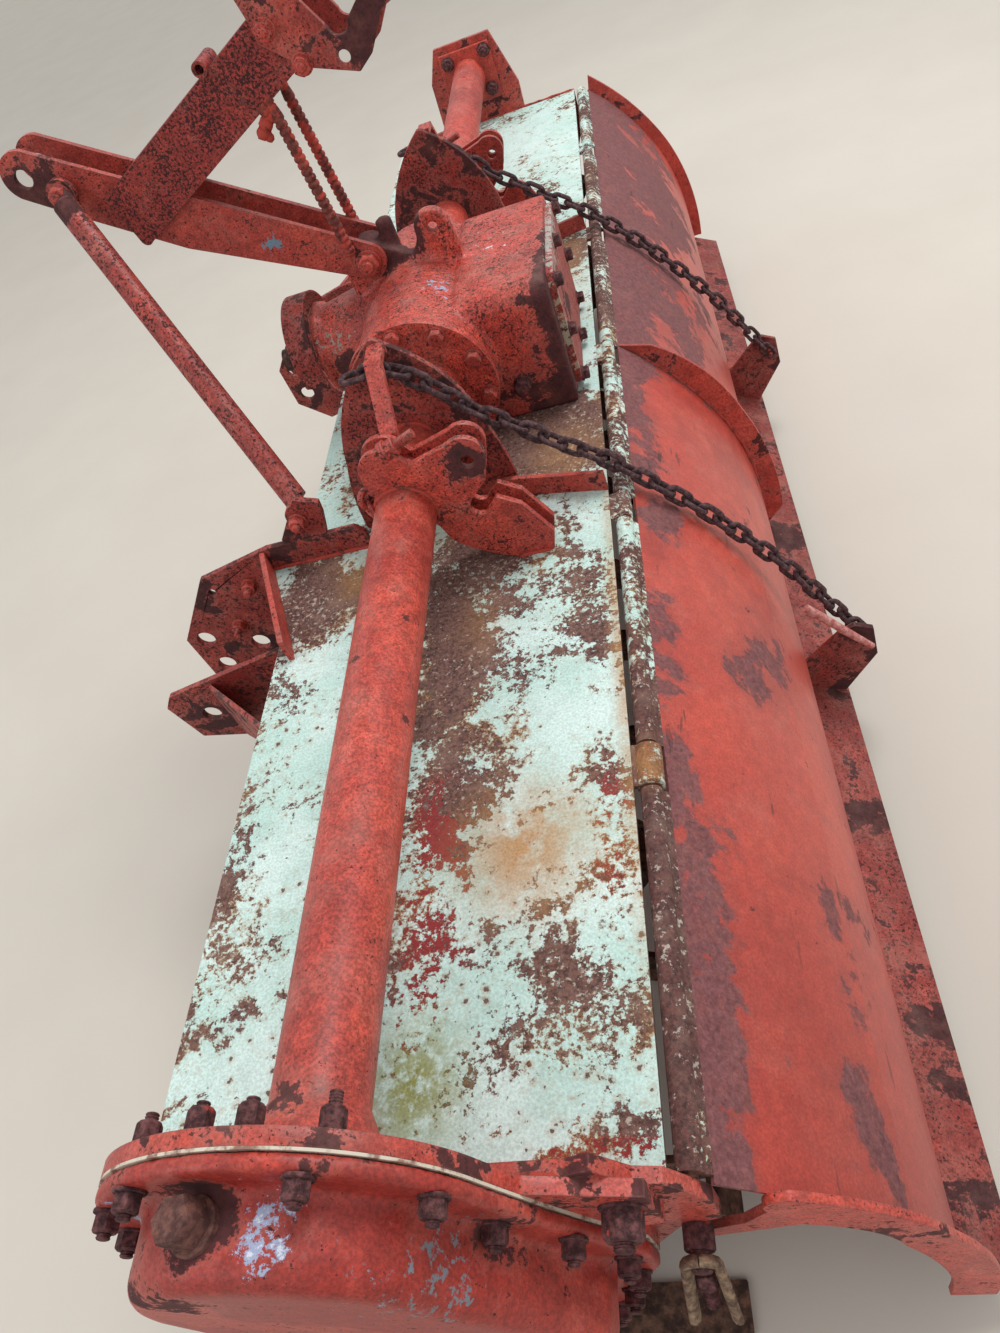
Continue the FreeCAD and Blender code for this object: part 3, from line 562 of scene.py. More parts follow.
def gate_paint(name):
    """Tailgate enamel: red, with purple-brown scale along the hinge and beyond the middle rib."""
    s = Shader(name)
    broad = s.noise(4.0, 4.0, shift=2.0)
    color = s.mix(linear("#A03D34"), RED, s.step(broad, 0.25, 0.55))
    color = s.mix(color, RED_BRIGHT, s.mul(s.step(s.noise(9.0, 7.0, 0.62, 5.0), 0.48, 0.62), 0.5))
    color = s.mix(color, RED_FADED, s.mul(s.step(s.noise(15.0, 8.0, 0.68, 7.0), 0.48, 0.72), 0.30))
    color = s.mix(color, linear("#9A332A"), s.step(s.y, 0.75, 1.25, 0.0, 0.55))
    top = s.step(s.z, -0.185, -0.135)
    far = s.mul(s.step(s.y, 0.07, -0.04), s.step(s.z, -0.46, -0.26))
    field = s.noise(6.5, 9.0, 0.62, 8.0, warp=0.4)
    fine = s.noise(34.0, 8.0, 0.68, 9.0)
    spots = s.total([s.blob(*patch) for patch in GATE_PATCHES])
    field = s.total([s.mul(field, 0.75), s.mul(fine, 0.25), spots, s.mul(top, 0.16), s.mul(far, 0.17)])
    scale = s.step(field, 0.600, 0.630)
    soft = s.step(field, 0.52, 0.66)
    grain = s.noise(150.0, 6.0, 0.72, 3.0)
    brown = s.mix(SCALE_DARK, SCALE_LIGHT, s.step(grain, 0.3, 0.65))
    brown = s.mix(brown, SCALE_RED, s.mul(s.step(fine, 0.50, 0.68), 0.55))
    color = s.mix(color, linear("#93403A"), s.mul(soft, 0.5))
    color = s.mix(color, brown, s.mul(scale, 0.88))
    runs = s.noise(60.0, 5.0, 0.6, 4.0, stretch=(1.0, 0.16, 1.0))
    scratch = s.mul(s.step(runs, 0.64, 0.67), s.step(s.noise(5.0, 3.0, 0.5, 6.0), 0.46, 0.60))
    color = s.mix(color, RUST_DARK, s.mul(scratch, 0.55))
    chips = s.step(s.noise(48.0, 6.0, 0.7, 12.0), 0.665, 0.69)
    color = s.mix(color, RUST_DARK, s.mul(chips, 0.75))
    dusty = s.step(s.noise(20.0, 7.0, 0.7, 19.0), 0.42, 0.8)
    lying = s.mul(s.step(s.upward(), 0.30, 0.9), dusty)
    color = s.mix(color, DUST, s.mul(lying, 0.16))
    sand = s.step(s.noise(360.0, 3.0, 0.70, 1.0), 0.33, 0.67, 0.82, 1.15)
    color = s.scaled(color, s.mul(sand, s.step(s.noise(75.0, 5.0, 0.62, 6.0), 0.34, 0.66, 0.92, 1.08)))
    rough = s.add(0.40, s.mul(s.math("MAXIMUM", scale, chips), 0.36))
    uneven = s.add(s.mul(s.noise(6.0, 2.0), 1.2), s.mul(s.noise(420.0, 4.0, 0.7), 0.12))
    flat = s.total([s.mul(scale, -0.25), s.mul(chips, -0.5), s.mul(scratch, -0.3)])
    height = s.total([flat, s.mul(grain, s.mul(scale, 0.3)), uneven])
    return s.finish(color, rough, height, 0.0009, 0.65)


# Height of the deck's top, in metres of the row frame
DECK_Z = -0.106

# Patches of the deck's paint: x and y of the middle, half sizes along x and y, in metres, and strength
DECK_FLAKES = (
    (-0.295, 0.70, 0.080, 0.23, 0.16), (-0.315, 0.50, 0.13, 0.15, 0.17),
    (-0.440, 0.56, 0.060, 0.16, 0.065), (-0.425, 0.25, 0.12, 0.17, 0.16),
    (-0.445, -0.34, 0.06, 0.20, 0.08), (-0.455, 0.80, 0.04, 0.10, 0.04), (-0.335, 0.85, 0.06, 0.06, 0.06),
    (-0.285, 1.14, 0.06, 0.05, -0.08), (-0.13, 0.70, 0.10, 0.25, -0.02), (-0.36, 0.98, 0.05, 0.05, -0.05),
    (-0.100, 0.50, 0.12, 0.13, 0.17), (-0.30, 0.25, 0.30, 0.16, 0.14), (-0.430, 1.07, 0.055, 0.05, 0.14),
    (-0.295, 0.98, 0.05, 0.14, 0.055), (-0.465, 0.62, 0.035, 0.15, 0.06), (-0.47, 1.19, 0.06, 0.03, 0.12),
    (-0.06, 0.95, 0.05, 0.18, 0.05), (-0.39, 1.06, 0.03, 0.04, 0.06), (-0.42, 0.80, 0.07, 0.10, -0.07),
    (-0.40, 1.16, 0.09, 0.06, -0.10), (-0.30, -0.30, 0.30, 0.25, 0.10), (-0.42, -0.95, 0.12, 0.25, -0.05),
)
DECK_STAINS = (
    (-0.385, 0.925, 0.115, 0.120, 0.95), (-0.495, 0.70, 0.02, 0.60, 0.7), (-0.15, 0.47, 0.06, 0.06, 0.55),
    (-0.44, 0.30, 0.08, 0.12, 0.45), (-0.33, 0.60, 0.05, 0.1, 0.25), (-0.46, -0.25, 0.06, 0.3, 0.35),
    (-0.20, 0.43, 0.14, 0.03, 0.5),
)
DECK_LICHEN = ((-0.287, 1.14, 0.075, 0.085, 1.0), (-0.25, 0.40, 0.05, 0.05, 0.3))
DECK_UNDERCOAT = (
    (-0.295, 0.985, 0.055, 0.15, 1.0), (-0.290, 1.10, 0.05, 0.07, 0.8), (-0.290, 0.88, 0.045, 0.09, 1.0),
    (-0.47, 0.92, 0.035, 0.10, 0.9), (-0.43, 1.205, 0.14, 0.022, 1.0),
)


def on_deck(rows):
    """Blobs that lie on the deck, from rows of a deck table."""
    depth = 0.1
    return [((x, y, DECK_Z), (wide, long, depth), strength) for x, y, wide, long, strength in rows]


MATERIALS = {
    # Tube, gearbox and drive case
    "tube": enamel(
        "tube enamel", pits=0.36, pit_scale=120.0, pepper=0.12, rust=0.10, bright=0.40, shift=1.0,
        gloss=0.40, dust=0.30, wear=0.3, grit=1.2,
        blobs=[(at(0, 1180, 30), (0.09, 0.05, 0.09), 0.16), (at(20, 455, 40), (0.05, 0.05, 0.05), 0.2)]),
    "cast": enamel(
        "cast enamel", pits=0.60, pit_scale=330.0, pepper=0.58, rust=0.34, rust_scale=9.0, bright=0.45,
        shift=2.0, gloss=0.46, dust=0.35, wear=0.5, grit=1.4,
        blobs=[(at(-150, 178, -50), (0.19, 0.05, 0.19), 0.23),
               (at(8, 27, 118), (0.095, 0.03, 0.07), 0.26), (at(-206, 178, 60), (0.03, 0.30, 0.08), 0.22),
               (at(100, 60, -20), (0.08, 0.08, 0.08), 0.10), (at(-205, 60, 0), (0.04, 0.2, 0.14), 0.20),
               (at(20, 0, 150), (0.10, 0.09, 0.05), 0.26), (at(60, 200, -40), (0.10, 0.06, 0.10), 0.14),
               (at(-60, 140, 90), (0.07, 0.12, 0.03), -0.22),
               (at(40, 110, 90), (0.09, 0.10, 0.06), -0.2)],
        marks=[(at(-52, 110, 96), (0.05, 0.07, 0.05), BLUE, 0.14),
               (at(-120, 20, 88), (0.08, 0.10, 0.03), WHITE_FLECK, 0.06),
               (at(150, 60, 35), (0.06, 0.05, 0.05), GREY_GREEN, 0.13),
               (at(-203, 60, 86), (0.02, 0.20, 0.03), GREY_GREEN, 0.10)]),
    "case": enamel(
        "case enamel", tone=linear("#A03027"), pits=0.30, pit_scale=150.0, pepper=0.15, rust=0.28,
        rust_scale=10.0, bright=0.30, shift=3.0, gloss=0.46, dust=0.08, grit=0.8, fade=0.10,
        blobs=[(at(60, 1300, 60), (0.08, 0.06, 0.06), 0.12),
               (at(-100, 1240, -40), (0.12, 0.05, 0.09), 0.12),
               (at(30, 1279, 84), (0.045, 0.04, 0.03), 0.30),
               (at(-20, 1285, 84), (0.05, 0.05, 0.03), 0.08)],
        marks=[(at(-18, 1285, 80), (0.035, 0.045, 0.05), BLUE, 0.20),
               (at(-22, 1285, 78), (0.03, 0.03, 0.05), WHITE_FLECK, 0.12),
               (at(112, 1262, 40), (0.02, 0.02, 0.05), BLUE, 0.2),
               (at(-110, 1300, 0), (0.11, 0.07, 0.08), linear("#6F8790"), 0.155),
               (at(-75, 1290, 62), (0.07, 0.03, 0.04), linear("#8A6A74"), 0.12),
               (at(-60, 1312, 20), (0.06, 0.03, 0.04), WHITE_FLECK, 0.05)]),
    # Mast, arm, brackets and hitch
    "pitted": enamel(
        "pitted enamel", tone=linear("#94332C"), pits=0.5, pit_scale=190.0, pepper=0.88, fade=0.15,
        rust_scale=26.0, bright=0.1, shift=4.0, gloss=0.55, dust=0.15, grit=1.4),
    "mast": enamel(
        "mast enamel", tone=linear("#A93E33"), fade=0.2, pits=0.40, pit_scale=170.0, pepper=0.45,
        rust_scale=12.0, shift=5.0, gloss=0.45, grit=1.2,
        blobs=[(at(470, 30, 370), (0.10, 0.08, 0.08), 0.26), (at(60, 36, 130), (0.05, 0.02, 0.05), 0.12)],
        marks=[(at(180, 36, 190), (0.04, 0.02, 0.025), TEAL, 0.2)]),
    "hook": enamel(
        "hook plate enamel", tone=RED_DARK, pits=0.5, pit_scale=120.0, pepper=0.6, rust=0.44,
        rust_scale=18.0, bright=0.45, shift=6.0, gloss=0.5,
        blobs=[(at(-60, 50, 400), (0.08, 0.05, 0.08), 0.22)]),
    "strut": enamel(
        "strut enamel", tone=RED_DARK, pits=0.5, pit_scale=190.0, pepper=0.75, rust=0.36, rust_scale=20.0,
        bright=0.2, shift=7.0, wear=0.3, grit=1.2,
        blobs=[(at(420, 60, 340), (0.08, 0.05, 0.08), 0.2)]),
    "gable": enamel(
        "support plate enamel", tone=RED_DARK, pits=0.6, pit_scale=170.0, pepper=0.8, rust=0.58,
        rust_scale=11.0, bright=0.25, shift=8.0, gloss=0.58),
    "fork": enamel(
        "fork enamel", pits=0.6, pit_scale=150.0, pepper=0.55, bright=0.4, shift=9.0, gloss=0.45,
        wear=0.7, grit=1.2,
        blobs=[(at(-97, 490, 50), (0.045, 0.03, 0.045), 0.20)]),
    "hitch": enamel(
        "hitch enamel", tone=RED_DARK, pits=0.6, pit_scale=160.0, pepper=0.75, rust=0.52, rust_scale=16.0,
        bright=0.25, shift=10.0, gloss=0.55),
    # Side plates, rails, ribs, cover and painted bolts
    "bolt_red": enamel(
        "painted bolt", pits=0.6, pit_scale=260.0, pepper=0.55, rust_scale=45.0, bright=0.3, shift=3.0,
        gloss=0.5, wear=0.5),
    "cover": enamel(
        "cover enamel", tone=RED_DARK, pits=0.5, pit_scale=200.0, pepper=0.5, rust=0.40, rust_scale=12.0,
        bright=0.2, shift=17.0, gloss=0.55, dust=0.5, wear=0.3,
        marks=[(at(-213, 20, 76), (0.05, 0.25, 0.05), linear("#AEB4AC"), 0.22),
               (at(-213, 152, 0), (0.05, 0.03, 0.16), linear("#B9AE98"), 0.20)]),
    "under": enamel(
        "hidden side enamel", tone=RED_DARK, pits=0.9, pit_scale=120.0, rust=0.75, rust_scale=8.0,
        bright=0.0, shift=14.0, gloss=0.7, dust=0.0, wear=0.0),
    "side": enamel(
        "side plate enamel", pit_scale=140.0, pepper=0.35, rust=0.52, rust_scale=24.0, bright=0.45,
        shift=11.0, gloss=0.42, wear=0.7),
    "rail": enamel(
        "deck rail enamel", pit_scale=130.0, pepper=0.4, rust=0.38, rust_scale=15.0, bright=0.3,
        shift=15.0, gloss=0.55, wear=0.7),
    "ribs": enamel(
        "gate rib enamel", pits=0.40, pit_scale=140.0, pepper=0.3, rust=0.38, rust_scale=12.0, bright=0.4,
        shift=13.0, wear=0.7),
    "lip": enamel(
        "gate lip enamel", tone=linear("#84362F"), pits=0.6, pit_scale=140.0, pepper=0.6, rust=0.50,
        rust_scale=10.0, bright=0.1, shift=16.0, gloss=0.6),
    # Deck and its hinge
    "deck": deck_paint(
        "deck paint", bias=0.004, blobs=on_deck(DECK_FLAKES), ochres=on_deck(DECK_STAINS),
        greens=on_deck(DECK_LICHEN), reds=on_deck(DECK_UNDERCOAT)),
    "hinge": deck_paint(
        "hinge paint", side_rust=-0.5, bias=-0.065, shift=5.0, rust_tone=linear("#6E4640"),
        blobs=[((-0.512, 1.05, -0.114), (0.1, 0.45, 0.1), 0.14)],
        ochres=[((-0.512, 0.85, -0.106), (0.03, 0.05, 0.05), 0.4)]),
    "clasp": deck_paint(
        "clasp paint", side_rust=-0.5, bias=-0.085, shift=7.0, rust_tone=linear("#94583E"),
        ochres=[((-0.512, 0.85, -0.106), (0.03, 0.05, 0.05), 0.6)]),
    # Rusty parts with little or no paint
    "chain": rusty_iron("chain rust", linear("#36262A"), linear("#6E5052"), shift=1.0, scale=160.0),
    "bolt": rusty_iron(
        "bolt rust", linear("#3C2426"), linear("#7A4C4C"), red=0.10, shift=2.0, scale=160.0),
    "plug": rusty_iron("plug rust", linear("#4C312E"), linear("#80564B"), shift=11.0, scale=110.0),
    "rod": rusty_iron("rod rust", linear("#3E2724"), linear("#77503F"), red=0.15, shift=4.0, scale=100.0),
    "rebar": rusty_iron(
        "ribbed bar rust", linear("#5A2C29"), linear("#8A4C42"), red=0.42, shift=5.0, scale=120.0),
    "pink": rusty_iron("pink hook paint", linear("#B0605A"), linear("#D9A79E"), shift=9.0, scale=120.0),
    "tan": rusty_iron("muddy clip", linear("#5A463C"), linear("#A58A6E"), shift=10.0, scale=110.0),
    "blade": rusty_iron("blade rust", linear("#3B2A25"), linear("#7A5A48"), shift=6.0, scale=60.0),
    "weld": rusty_iron(
        "weld rust", linear("#6A342C"), linear("#94483A"), red=0.6, shift=7.0, scale=150.0),
    "shaft": rusty_iron("shaft steel", linear("#3A2826"), linear("#6A4A42"), shift=8.0, scale=80.0),
    "gate": gate_paint("gate enamel"),
    "gasket": gasket_paste("gasket paste"),
}

# CAD node prefix: material, and the width in metres that its edges are rounded by
CAD_LOOKS = (
    ("tube_", "tube", 0.0008), ("deck_hinge", "hinge", 0.0), ("deck_rib", "rail", 0.001),
    ("deck", "deck", 0.0012), ("front_", "under", 0.001), ("side_plate", "side", 0.0015),
    ("bearing", "under", 0.001), ("case_gasket", "gasket", 0.0), ("drive_case", "case", 0.001),
    ("gearbox_cover", "cover", 0.0012), ("gearbox_flange", "cast", 0.0012), ("gearbox", "cast", 0.001),
    ("input_shaft", "shaft", 0.0008), ("mast_pin", "bolt", 0.0008), ("mast_plate", "mast", 0.0),
    ("arm", "pitted", 0.001), ("brace", "rebar", 0.0), ("strut_foot", "hitch", 0.001),
    ("strut", "strut", 0.0), ("hook_plate", "hook", 0.001), ("support_plate", "gable", 0.001),
    ("fork", "fork", 0.001), ("rail", "rail", 0.001), ("hitch", "hitch", 0.001),
    ("chain_strap", "fork", 0.001), ("lift_chain", "chain", 0.0), ("hinge_rod", "rod", 0.0),
    ("gate_sheet", "gate", 0.0), ("gate_hinge", "hinge", 0.0), ("gate_lip", "lip", 0.001),
    ("gate_lug", "lip", 0.001), ("gate_", "ribs", 0.001), ("rotor_blades", "blade", 0.0008),
    ("rotor_shaft", "blade", 0.0), ("skid", "blade", 0.001),
)


# Corners of neighbouring CAD faces that lie this close, in metres, are one corner
SAME_PLACE = 0.00002


def dress_cad():
    for name, node in nodes.items():
        look, width = next((look, width) for prefix, look, width in CAD_LOOKS if name.startswith(prefix))
        node.data.materials.clear()
        node.data.materials.append(MATERIALS[look])
        if width:
            joined = node.modifiers.new("merge", "WELD")
            joined.merge_threshold = SAME_PLACE
            add_bevel(node, width)


# Pieces

# Middle of a lift chain, in tube-centred millimetres, from the strap's slot to the ear's pin
CHAIN_PATH = (
    (42, 372, 126), (12, 373, 131), (-18, 374, 126), (-60, 377, 90), (-98, 379, 46), (-150, 382, 4),
    (-191, 385, -31), (-236, 387, -64), (-289, 391, -118), (-346, 394, -181), (-402, 396, -254),
    (-450, 398, -323), (-498, 400, -404), (-535, 402, -468),
)
# x and z along the outside of the tailgate's sheet
GATE_CURVE = (
    (-266, -121), (-302, -158), (-342, -202), (-378, -253), (-408, -309), (-430, -364), (-443, -422),
    (-450, -490), (-450, -556),
)
TUBE_R = 38.15


def mirrored(side, x, y, z):
    return at(x, side * y, z)


def lift_chain(side, label):
    """Round links of a welded chain along the CAD chain's path, each turned a quarter from the last."""
    mesh = Mesh(5 if side > 0 else 9)
    pitch, half_link = 0.027, 0.0090
    points = spaced([mirrored(side, *p) for p in CHAIN_PATH], pitch / 2)[1::2]
    for i, p in enumerate(points):
        along = (points[min(i + 1, len(points) - 1)] - points[max(i - 1, 0)]).normalized()
        flat = (Y - along * along.dot(Y)).normalized()
        up = flat if i % 2 else along.cross(flat)
        up = (up + along.cross(up) * mesh.random.uniform(-0.16, 0.16)).normalized()
        wide = along.cross(up)
        ring = arc_points(p + along * half_link, wide, along, half_link, 0, 180, 9)
        ring += arc_points(p - along * half_link, wide, along, half_link, 180, 360, 9)
        mesh.sweep(ring, mesh.random.uniform(0.0037, 0.0041), 9, closed=True)
    piece = mesh.finish("lift_chain_links_" + label, None, "chain", 60)
    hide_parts("lift_chain_" + label)
    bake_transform(piece)


def ribbed_brace(side, label):
    """Ribbed bar from the mast plate up to the arm, welded at both ends."""
    mesh = Mesh(3)
    low, high = mirrored(side, 72, 42.1, 146), mirrored(side, 90, 42.1, 352)
    along = (high - low).normalized()
    rows = []
    length = (high - low).length
    core, shoulder, crest, rib_pitch = 0.0067, 0.0081, 0.0083, 0.009
    for i in range(int(length / rib_pitch)):
        h = i * rib_pitch
        rows += [(core, h), (core, h + 0.0018), (shoulder, h + 0.0030), (crest, h + 0.0055),
                 (shoulder, h + 0.0078)]
    rows.append((core, length))
    mesh.lathe(low, along, rows, 14)
    piece = mesh.finish("ribbed_bar_" + label, "root", "rebar", 50)
    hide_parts("brace_" + label)
    lump = Mesh(4)
    lump.weld([high - along * 0.012, high + along * 0.016], 0.008, 0.003, 9)
    lump.weld([low - along * 0.004, low + along * 0.012], 0.008, 0.003, 9)
    lump.finish("bar_weld_" + label, "root", "weld", 60)


def casting(node, name, voxel, look, rounds):
    """Copy of a CAD casting with its corners and joins rounded as a foundry leaves them."""
    source = nodes[node]
    piece = bpy.data.objects.new(name, source.data.copy())
    piece.matrix_world = source.matrix_world.copy()
    bpy.context.collection.objects.link(piece)
    remesh = piece.modifiers.new("skin", "REMESH")
    remesh.mode = "VOXEL"
    remesh.voxel_size = voxel
    remesh.use_smooth_shade = True
    soft = piece.modifiers.new("rounded", "SMOOTH")
    soft.factor = 0.5
    soft.iterations = rounds
    piece.data.materials.clear()
    piece.data.materials.append(MATERIALS[look])
    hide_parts(node)
    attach(piece, "root")


def around(x, z, radius, angles):
    """Places (x, z) on a circle, at angles in degrees."""
    return [(x + radius * math.cos(a), z + radius * math.sin(a)) for a in map(math.radians, angles)]


def gearbox_bolts():
    flange = Mesh(11)
    flange_face, bolt_circle = 229.5, 94
    for x, z in around(0, 0, bolt_circle, (12, 48.5, 85, 121.5, 158, 194.5, 231, 304, 341)):
        flange.bolt(at(x, flange_face, z), Y, 0.019, 0.012)
    flange.finish("gearbox_flange_bolts", "root", "bolt_red", 30)
    cover = Mesh(12)
    cover_face = -212.5
    for y, z in ((-97, 64), (20, 66), (138, 64), (140, -11), (138, -86), (20, -88), (-97, -86), (-97, -11)):
        cover.bolt(at(cover_face, y, z), -X, 0.017, 0.009)
    cover.bolt(at(-131, 177.5, -54), Y, 0.022, 0.012)
    cover.finish("gearbox_cover_bolts", "root", "bolt", 30)


def case_bolts():
    """Bolts of the drive case, whose nuts stand on both sides of its flange."""
    outer = Mesh(13)
    bearing_x, bearing_z = 12, -30
    flange_out, flange_in = 1257.5, 1232.5
    ring = around(bearing_x, bearing_z, 136, (7, 32, 60, 114, 152, 186))
    heel = [(-164, -100), (-189, -170), (-186, -222), (-166, -300), (-138, -372)]
    front = [(128, -110), (118, -200), (106, -290), (94, -370)]
    foot = around(-15, -392, 103, (-30, -68, -112, -150))
    for x, z in ring + heel + front + foot:
        outer.bolt(at(x, flange_out, z), Y, 0.0168, 0.0115, stud=0.003)
    outer.finish("case_nuts", "root", "bolt", 30)
    inner = Mesh(14)
    studs = (0.006, 0.005, 0.003, 0.010)
    for (x, z), stud in zip(around(bearing_x, bearing_z, 132, (58, 82, 98, 121)), studs):
        inner.bolt(at(x, flange_in, z), -Y, 0.0160, 0.0150, stud=stud)
    inner.finish("case_inner_nuts", "root", "bolt", 30)
    plug = Mesh(15)
    seat = at(30, 1279, 80)
    out = Vector((18, 0, 111)).normalized()
    plug.lathe(seat, out, [(0.0175, 0.0), (0.0175, 0.0045), (0.0160, 0.0055)], 28)
    head = [(0.0150, 0.0), (0.0153, 0.0012), (0.0153, 0.0185), (0.0144, 0.0202), (0.0110, 0.0206)]
    plug.lathe(seat + out * 0.005, out, head, 24, corners=6, turn=0.3)
    plug.finish("case_filler_plug", "root", "plug", 30)
    heel_bolt = Mesh(16)
    heel_bolt.bolt(at(-205, 1243.5, -80), Y, 0.027, 0.020, stud=0.007)
    heel_bolt.finish("heel_bolt", "root", "bolt", 30)


def mast_bolt():
    """Bolt through the mast plates and the gearbox lug."""
    mesh = Mesh(17)
    x, z = 54, 124
    mesh.lathe(at(x, -54, z), Y, [(0.0088, 0.0), (0.009, 0.001), (0.009, 0.110), (0.0075, 0.112)], 20)
    for side in (1, -1):
        face = at(x, side * 35.9, z)
        mesh.lathe(face, Y * side, [(0.0185, 0.0), (0.0185, 0.0028), (0.0178, 0.0034)], 24)
        mesh.bolt(face + Y * side * 0.003, Y * side, 0.027, 0.014, washer=False)
    piece = mesh.finish("mast_bolt_and_nuts", "root", "bolt_red", 30)
    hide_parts("mast_pin")


def bracket_bolts():
    mesh = Mesh(18)
    red = Mesh(28)
    for side in (1, -1):
        out = Y * side
        for x, z in ((307, -123), (363, -193)):
            red.bolt(mirrored(side, x, 401.5, z), out, 0.019, 0.011, stud=0.011)
            red.bolt(mirrored(side, x, 392.5, z), -out, 0.019, 0.009)
        red.bolt(mirrored(side, 184, 401.5, -36), out, 0.020, 0.012, stud=0.006)
        mesh.bolt(mirrored(side, 184, 378.5, -36), -out, 0.024, 0.010)
        red.bolt(mirrored(side, 425, 49.5, 346), out, 0.024, 0.012, stud=0.005)
        for x, z in ((55, 436), (27, 388)):
            red.bolt(mirrored(side, x, 50.5, z), out, 0.021, 0.012, stud=0.004)
        low = mirrored(side, -2, 484, 82)
        along = (mirrored(side, -50, 478, 97) - low).normalized()
        red.thread(low, along, 0.0068, 0.046)
        red.bolt(low + along * 0.006, along, 0.022, 0.012)
        red.lathe(low, along, [(0.014, 0.0), (0.014, 0.004), (0.012, 0.006)], 18)
        for k, tilt in ((0, 0.5), (1, -0.5)):
            centre = mirrored(side, 45 + 4 * k, 474, 22 - 15 * k)
            wide = (X * 0.4 + Y * tilt).normalized()
            red.sweep(arc_points(centre, wide, Z, 0.011, 0, 345, 16), 0.0045, 9, closed=True)
        for x, z in ((37, 18), (36, 40)):
            mesh.bolt(mirrored(side, x - 4, 462, z), X, 0.018, 0.010)
    for x, z in ((41, 40), (-50, 44), (-45, -39), (50, -52)):
        mesh.bolt(at(x, -1180.5, z), Y, 0.024, 0.014, stud=0.004)
    mesh.finish("bracket_bolts", "root", "bolt", 30)
    red.finish("painted_bracket_bolts", "root", "bolt_red", 30)


def welds():
    mesh = Mesh(19)

    def round_tube(y, r, a0, a1, bead):
        mesh.weld(arc_points(at(0, y, 0), X, Z, r / 1000, a0, a1, 40), bead)

    def seam(y, x0, x1, bead, z=-105.5):
        mesh.weld([at(x0, y, z), at(x1, y, z)], bead)

    for side in (1, -1):
        for y in (456.5, 466.5, 485.5, 495.5):
            round_tube(side * y, TUBE_R + 0.5, 30, 205, 0.0034)
        round_tube(side * 359.5, TUBE_R + 0.5, -60, 240, 0.0036)
        for y in (456.3, 495.6):
            seam(side * y, -112, -159, 0.0035)
        for y in (359.6, 349.4):
            seam(side * y, -113, 114, 0.0038)
        seam(side * 402.4, 105, 262, 0.0036)
    round_tube(1230.5, TUBE_R + 21.5, 0, 360, 0.0040)
    round_tube(260, TUBE_R + 1, -40, 230, 0.0036)
    seam(1231.6, 128, -170, 0.0036, z=-41)
    for y in (1219.2, -1189.2):
        seam(y, 214, -232, 0.0034, z=-105.4)
    mesh.finish("weld_beads", "root", "weld", 60)
    gate = Mesh(20)
    for y in (19.5, 26.5):
        gate.weld([at(x - 1, y, z + 1) for x, z in GATE_CURVE[1:]], 0.0032)
    gate.finish("rib_weld_beads", "tailgate", "weld", 60)


def torn_weld():
    """Lumps of old weld left under the arm."""
    mesh = Mesh(21)
    lumps = ((97, 40, 346, 11), (108, 41, 338, 10), (117, 42, 329, 9), (101, 43, 353, 9), (112, 40, 322, 7))
    for x, y, z, r in lumps:
        rings = []
        base = at(x, y, z)
        for i in range(7):
            h = -r + 2 * r * i / 6
            wide = math.sqrt(max(0.04, 1 - (h / r) ** 2)) * r
            ring = []
            for k in range(12):
                a = math.tau * k / 12
                lumpy = 1 + 0.25 * noise.noise(Vector((a, h, x)))
                ring.append(base + Vector((wide * math.cos(a), wide * 0.8 * math.sin(a), h)) / 1000 * lumpy)
            rings.append(ring)
        mesh.loft(rings)
    mesh.finish("torn_weld", "root", "weld", 60)


def hinge_clasp():
    """Wider sleeve over the hinge's near knuckle."""
    mesh = Mesh(22)
    rows = [(0.0112, 0.0), (0.0140, 0.0012), (0.0140, 0.0470), (0.0112, 0.0482)]
    mesh.lathe(at(-250, 825.9, -114), Y, rows, 28)
    mesh.finish("hinge_clasp", "root", "clasp", 40)


def chain_hook():
    """Painted rod hooked in the chain's lower end."""
    mesh = Mesh(23)
    path = [at(-459, 431, -371), at(-482, 434, -396), at(-512, 438, -431), at(-546, 442, -468)]
    mesh.sweep(path, [0.0060, 0.0062, 0.0060, 0.0045], 12)
    mesh.finish("chain_hook_rod", "tailgate", "pink", 60)


def shaft_guard():
    """Bent sheet over the input shaft, screwed to the nose's flange."""
    mesh = Mesh(27)
    near, far, inside, outside = 183, 222, 78, 82
    steps = 40
    strip = []
    for x, r in ((near, inside), (near, outside), (far, outside), (far, inside)):
        arc = arc_points(at(x, 0, 10), Y, Z, r / 1000, -8, 188, steps)
        strip.append([mesh.bm.verts.new(p) for p in arc])
    for a, b in zip(strip, strip[1:] + strip[:1]):
        for i in range(steps - 1):
            mesh.bm.faces.new((a[i], a[i + 1], b[i + 1], b[i]))
    for i in (0, steps - 1):
        mesh.bm.faces.new([row[i] for row in strip])
    mesh.finish("shaft_guard", "root", "hitch", 40, bevel=0.0008)


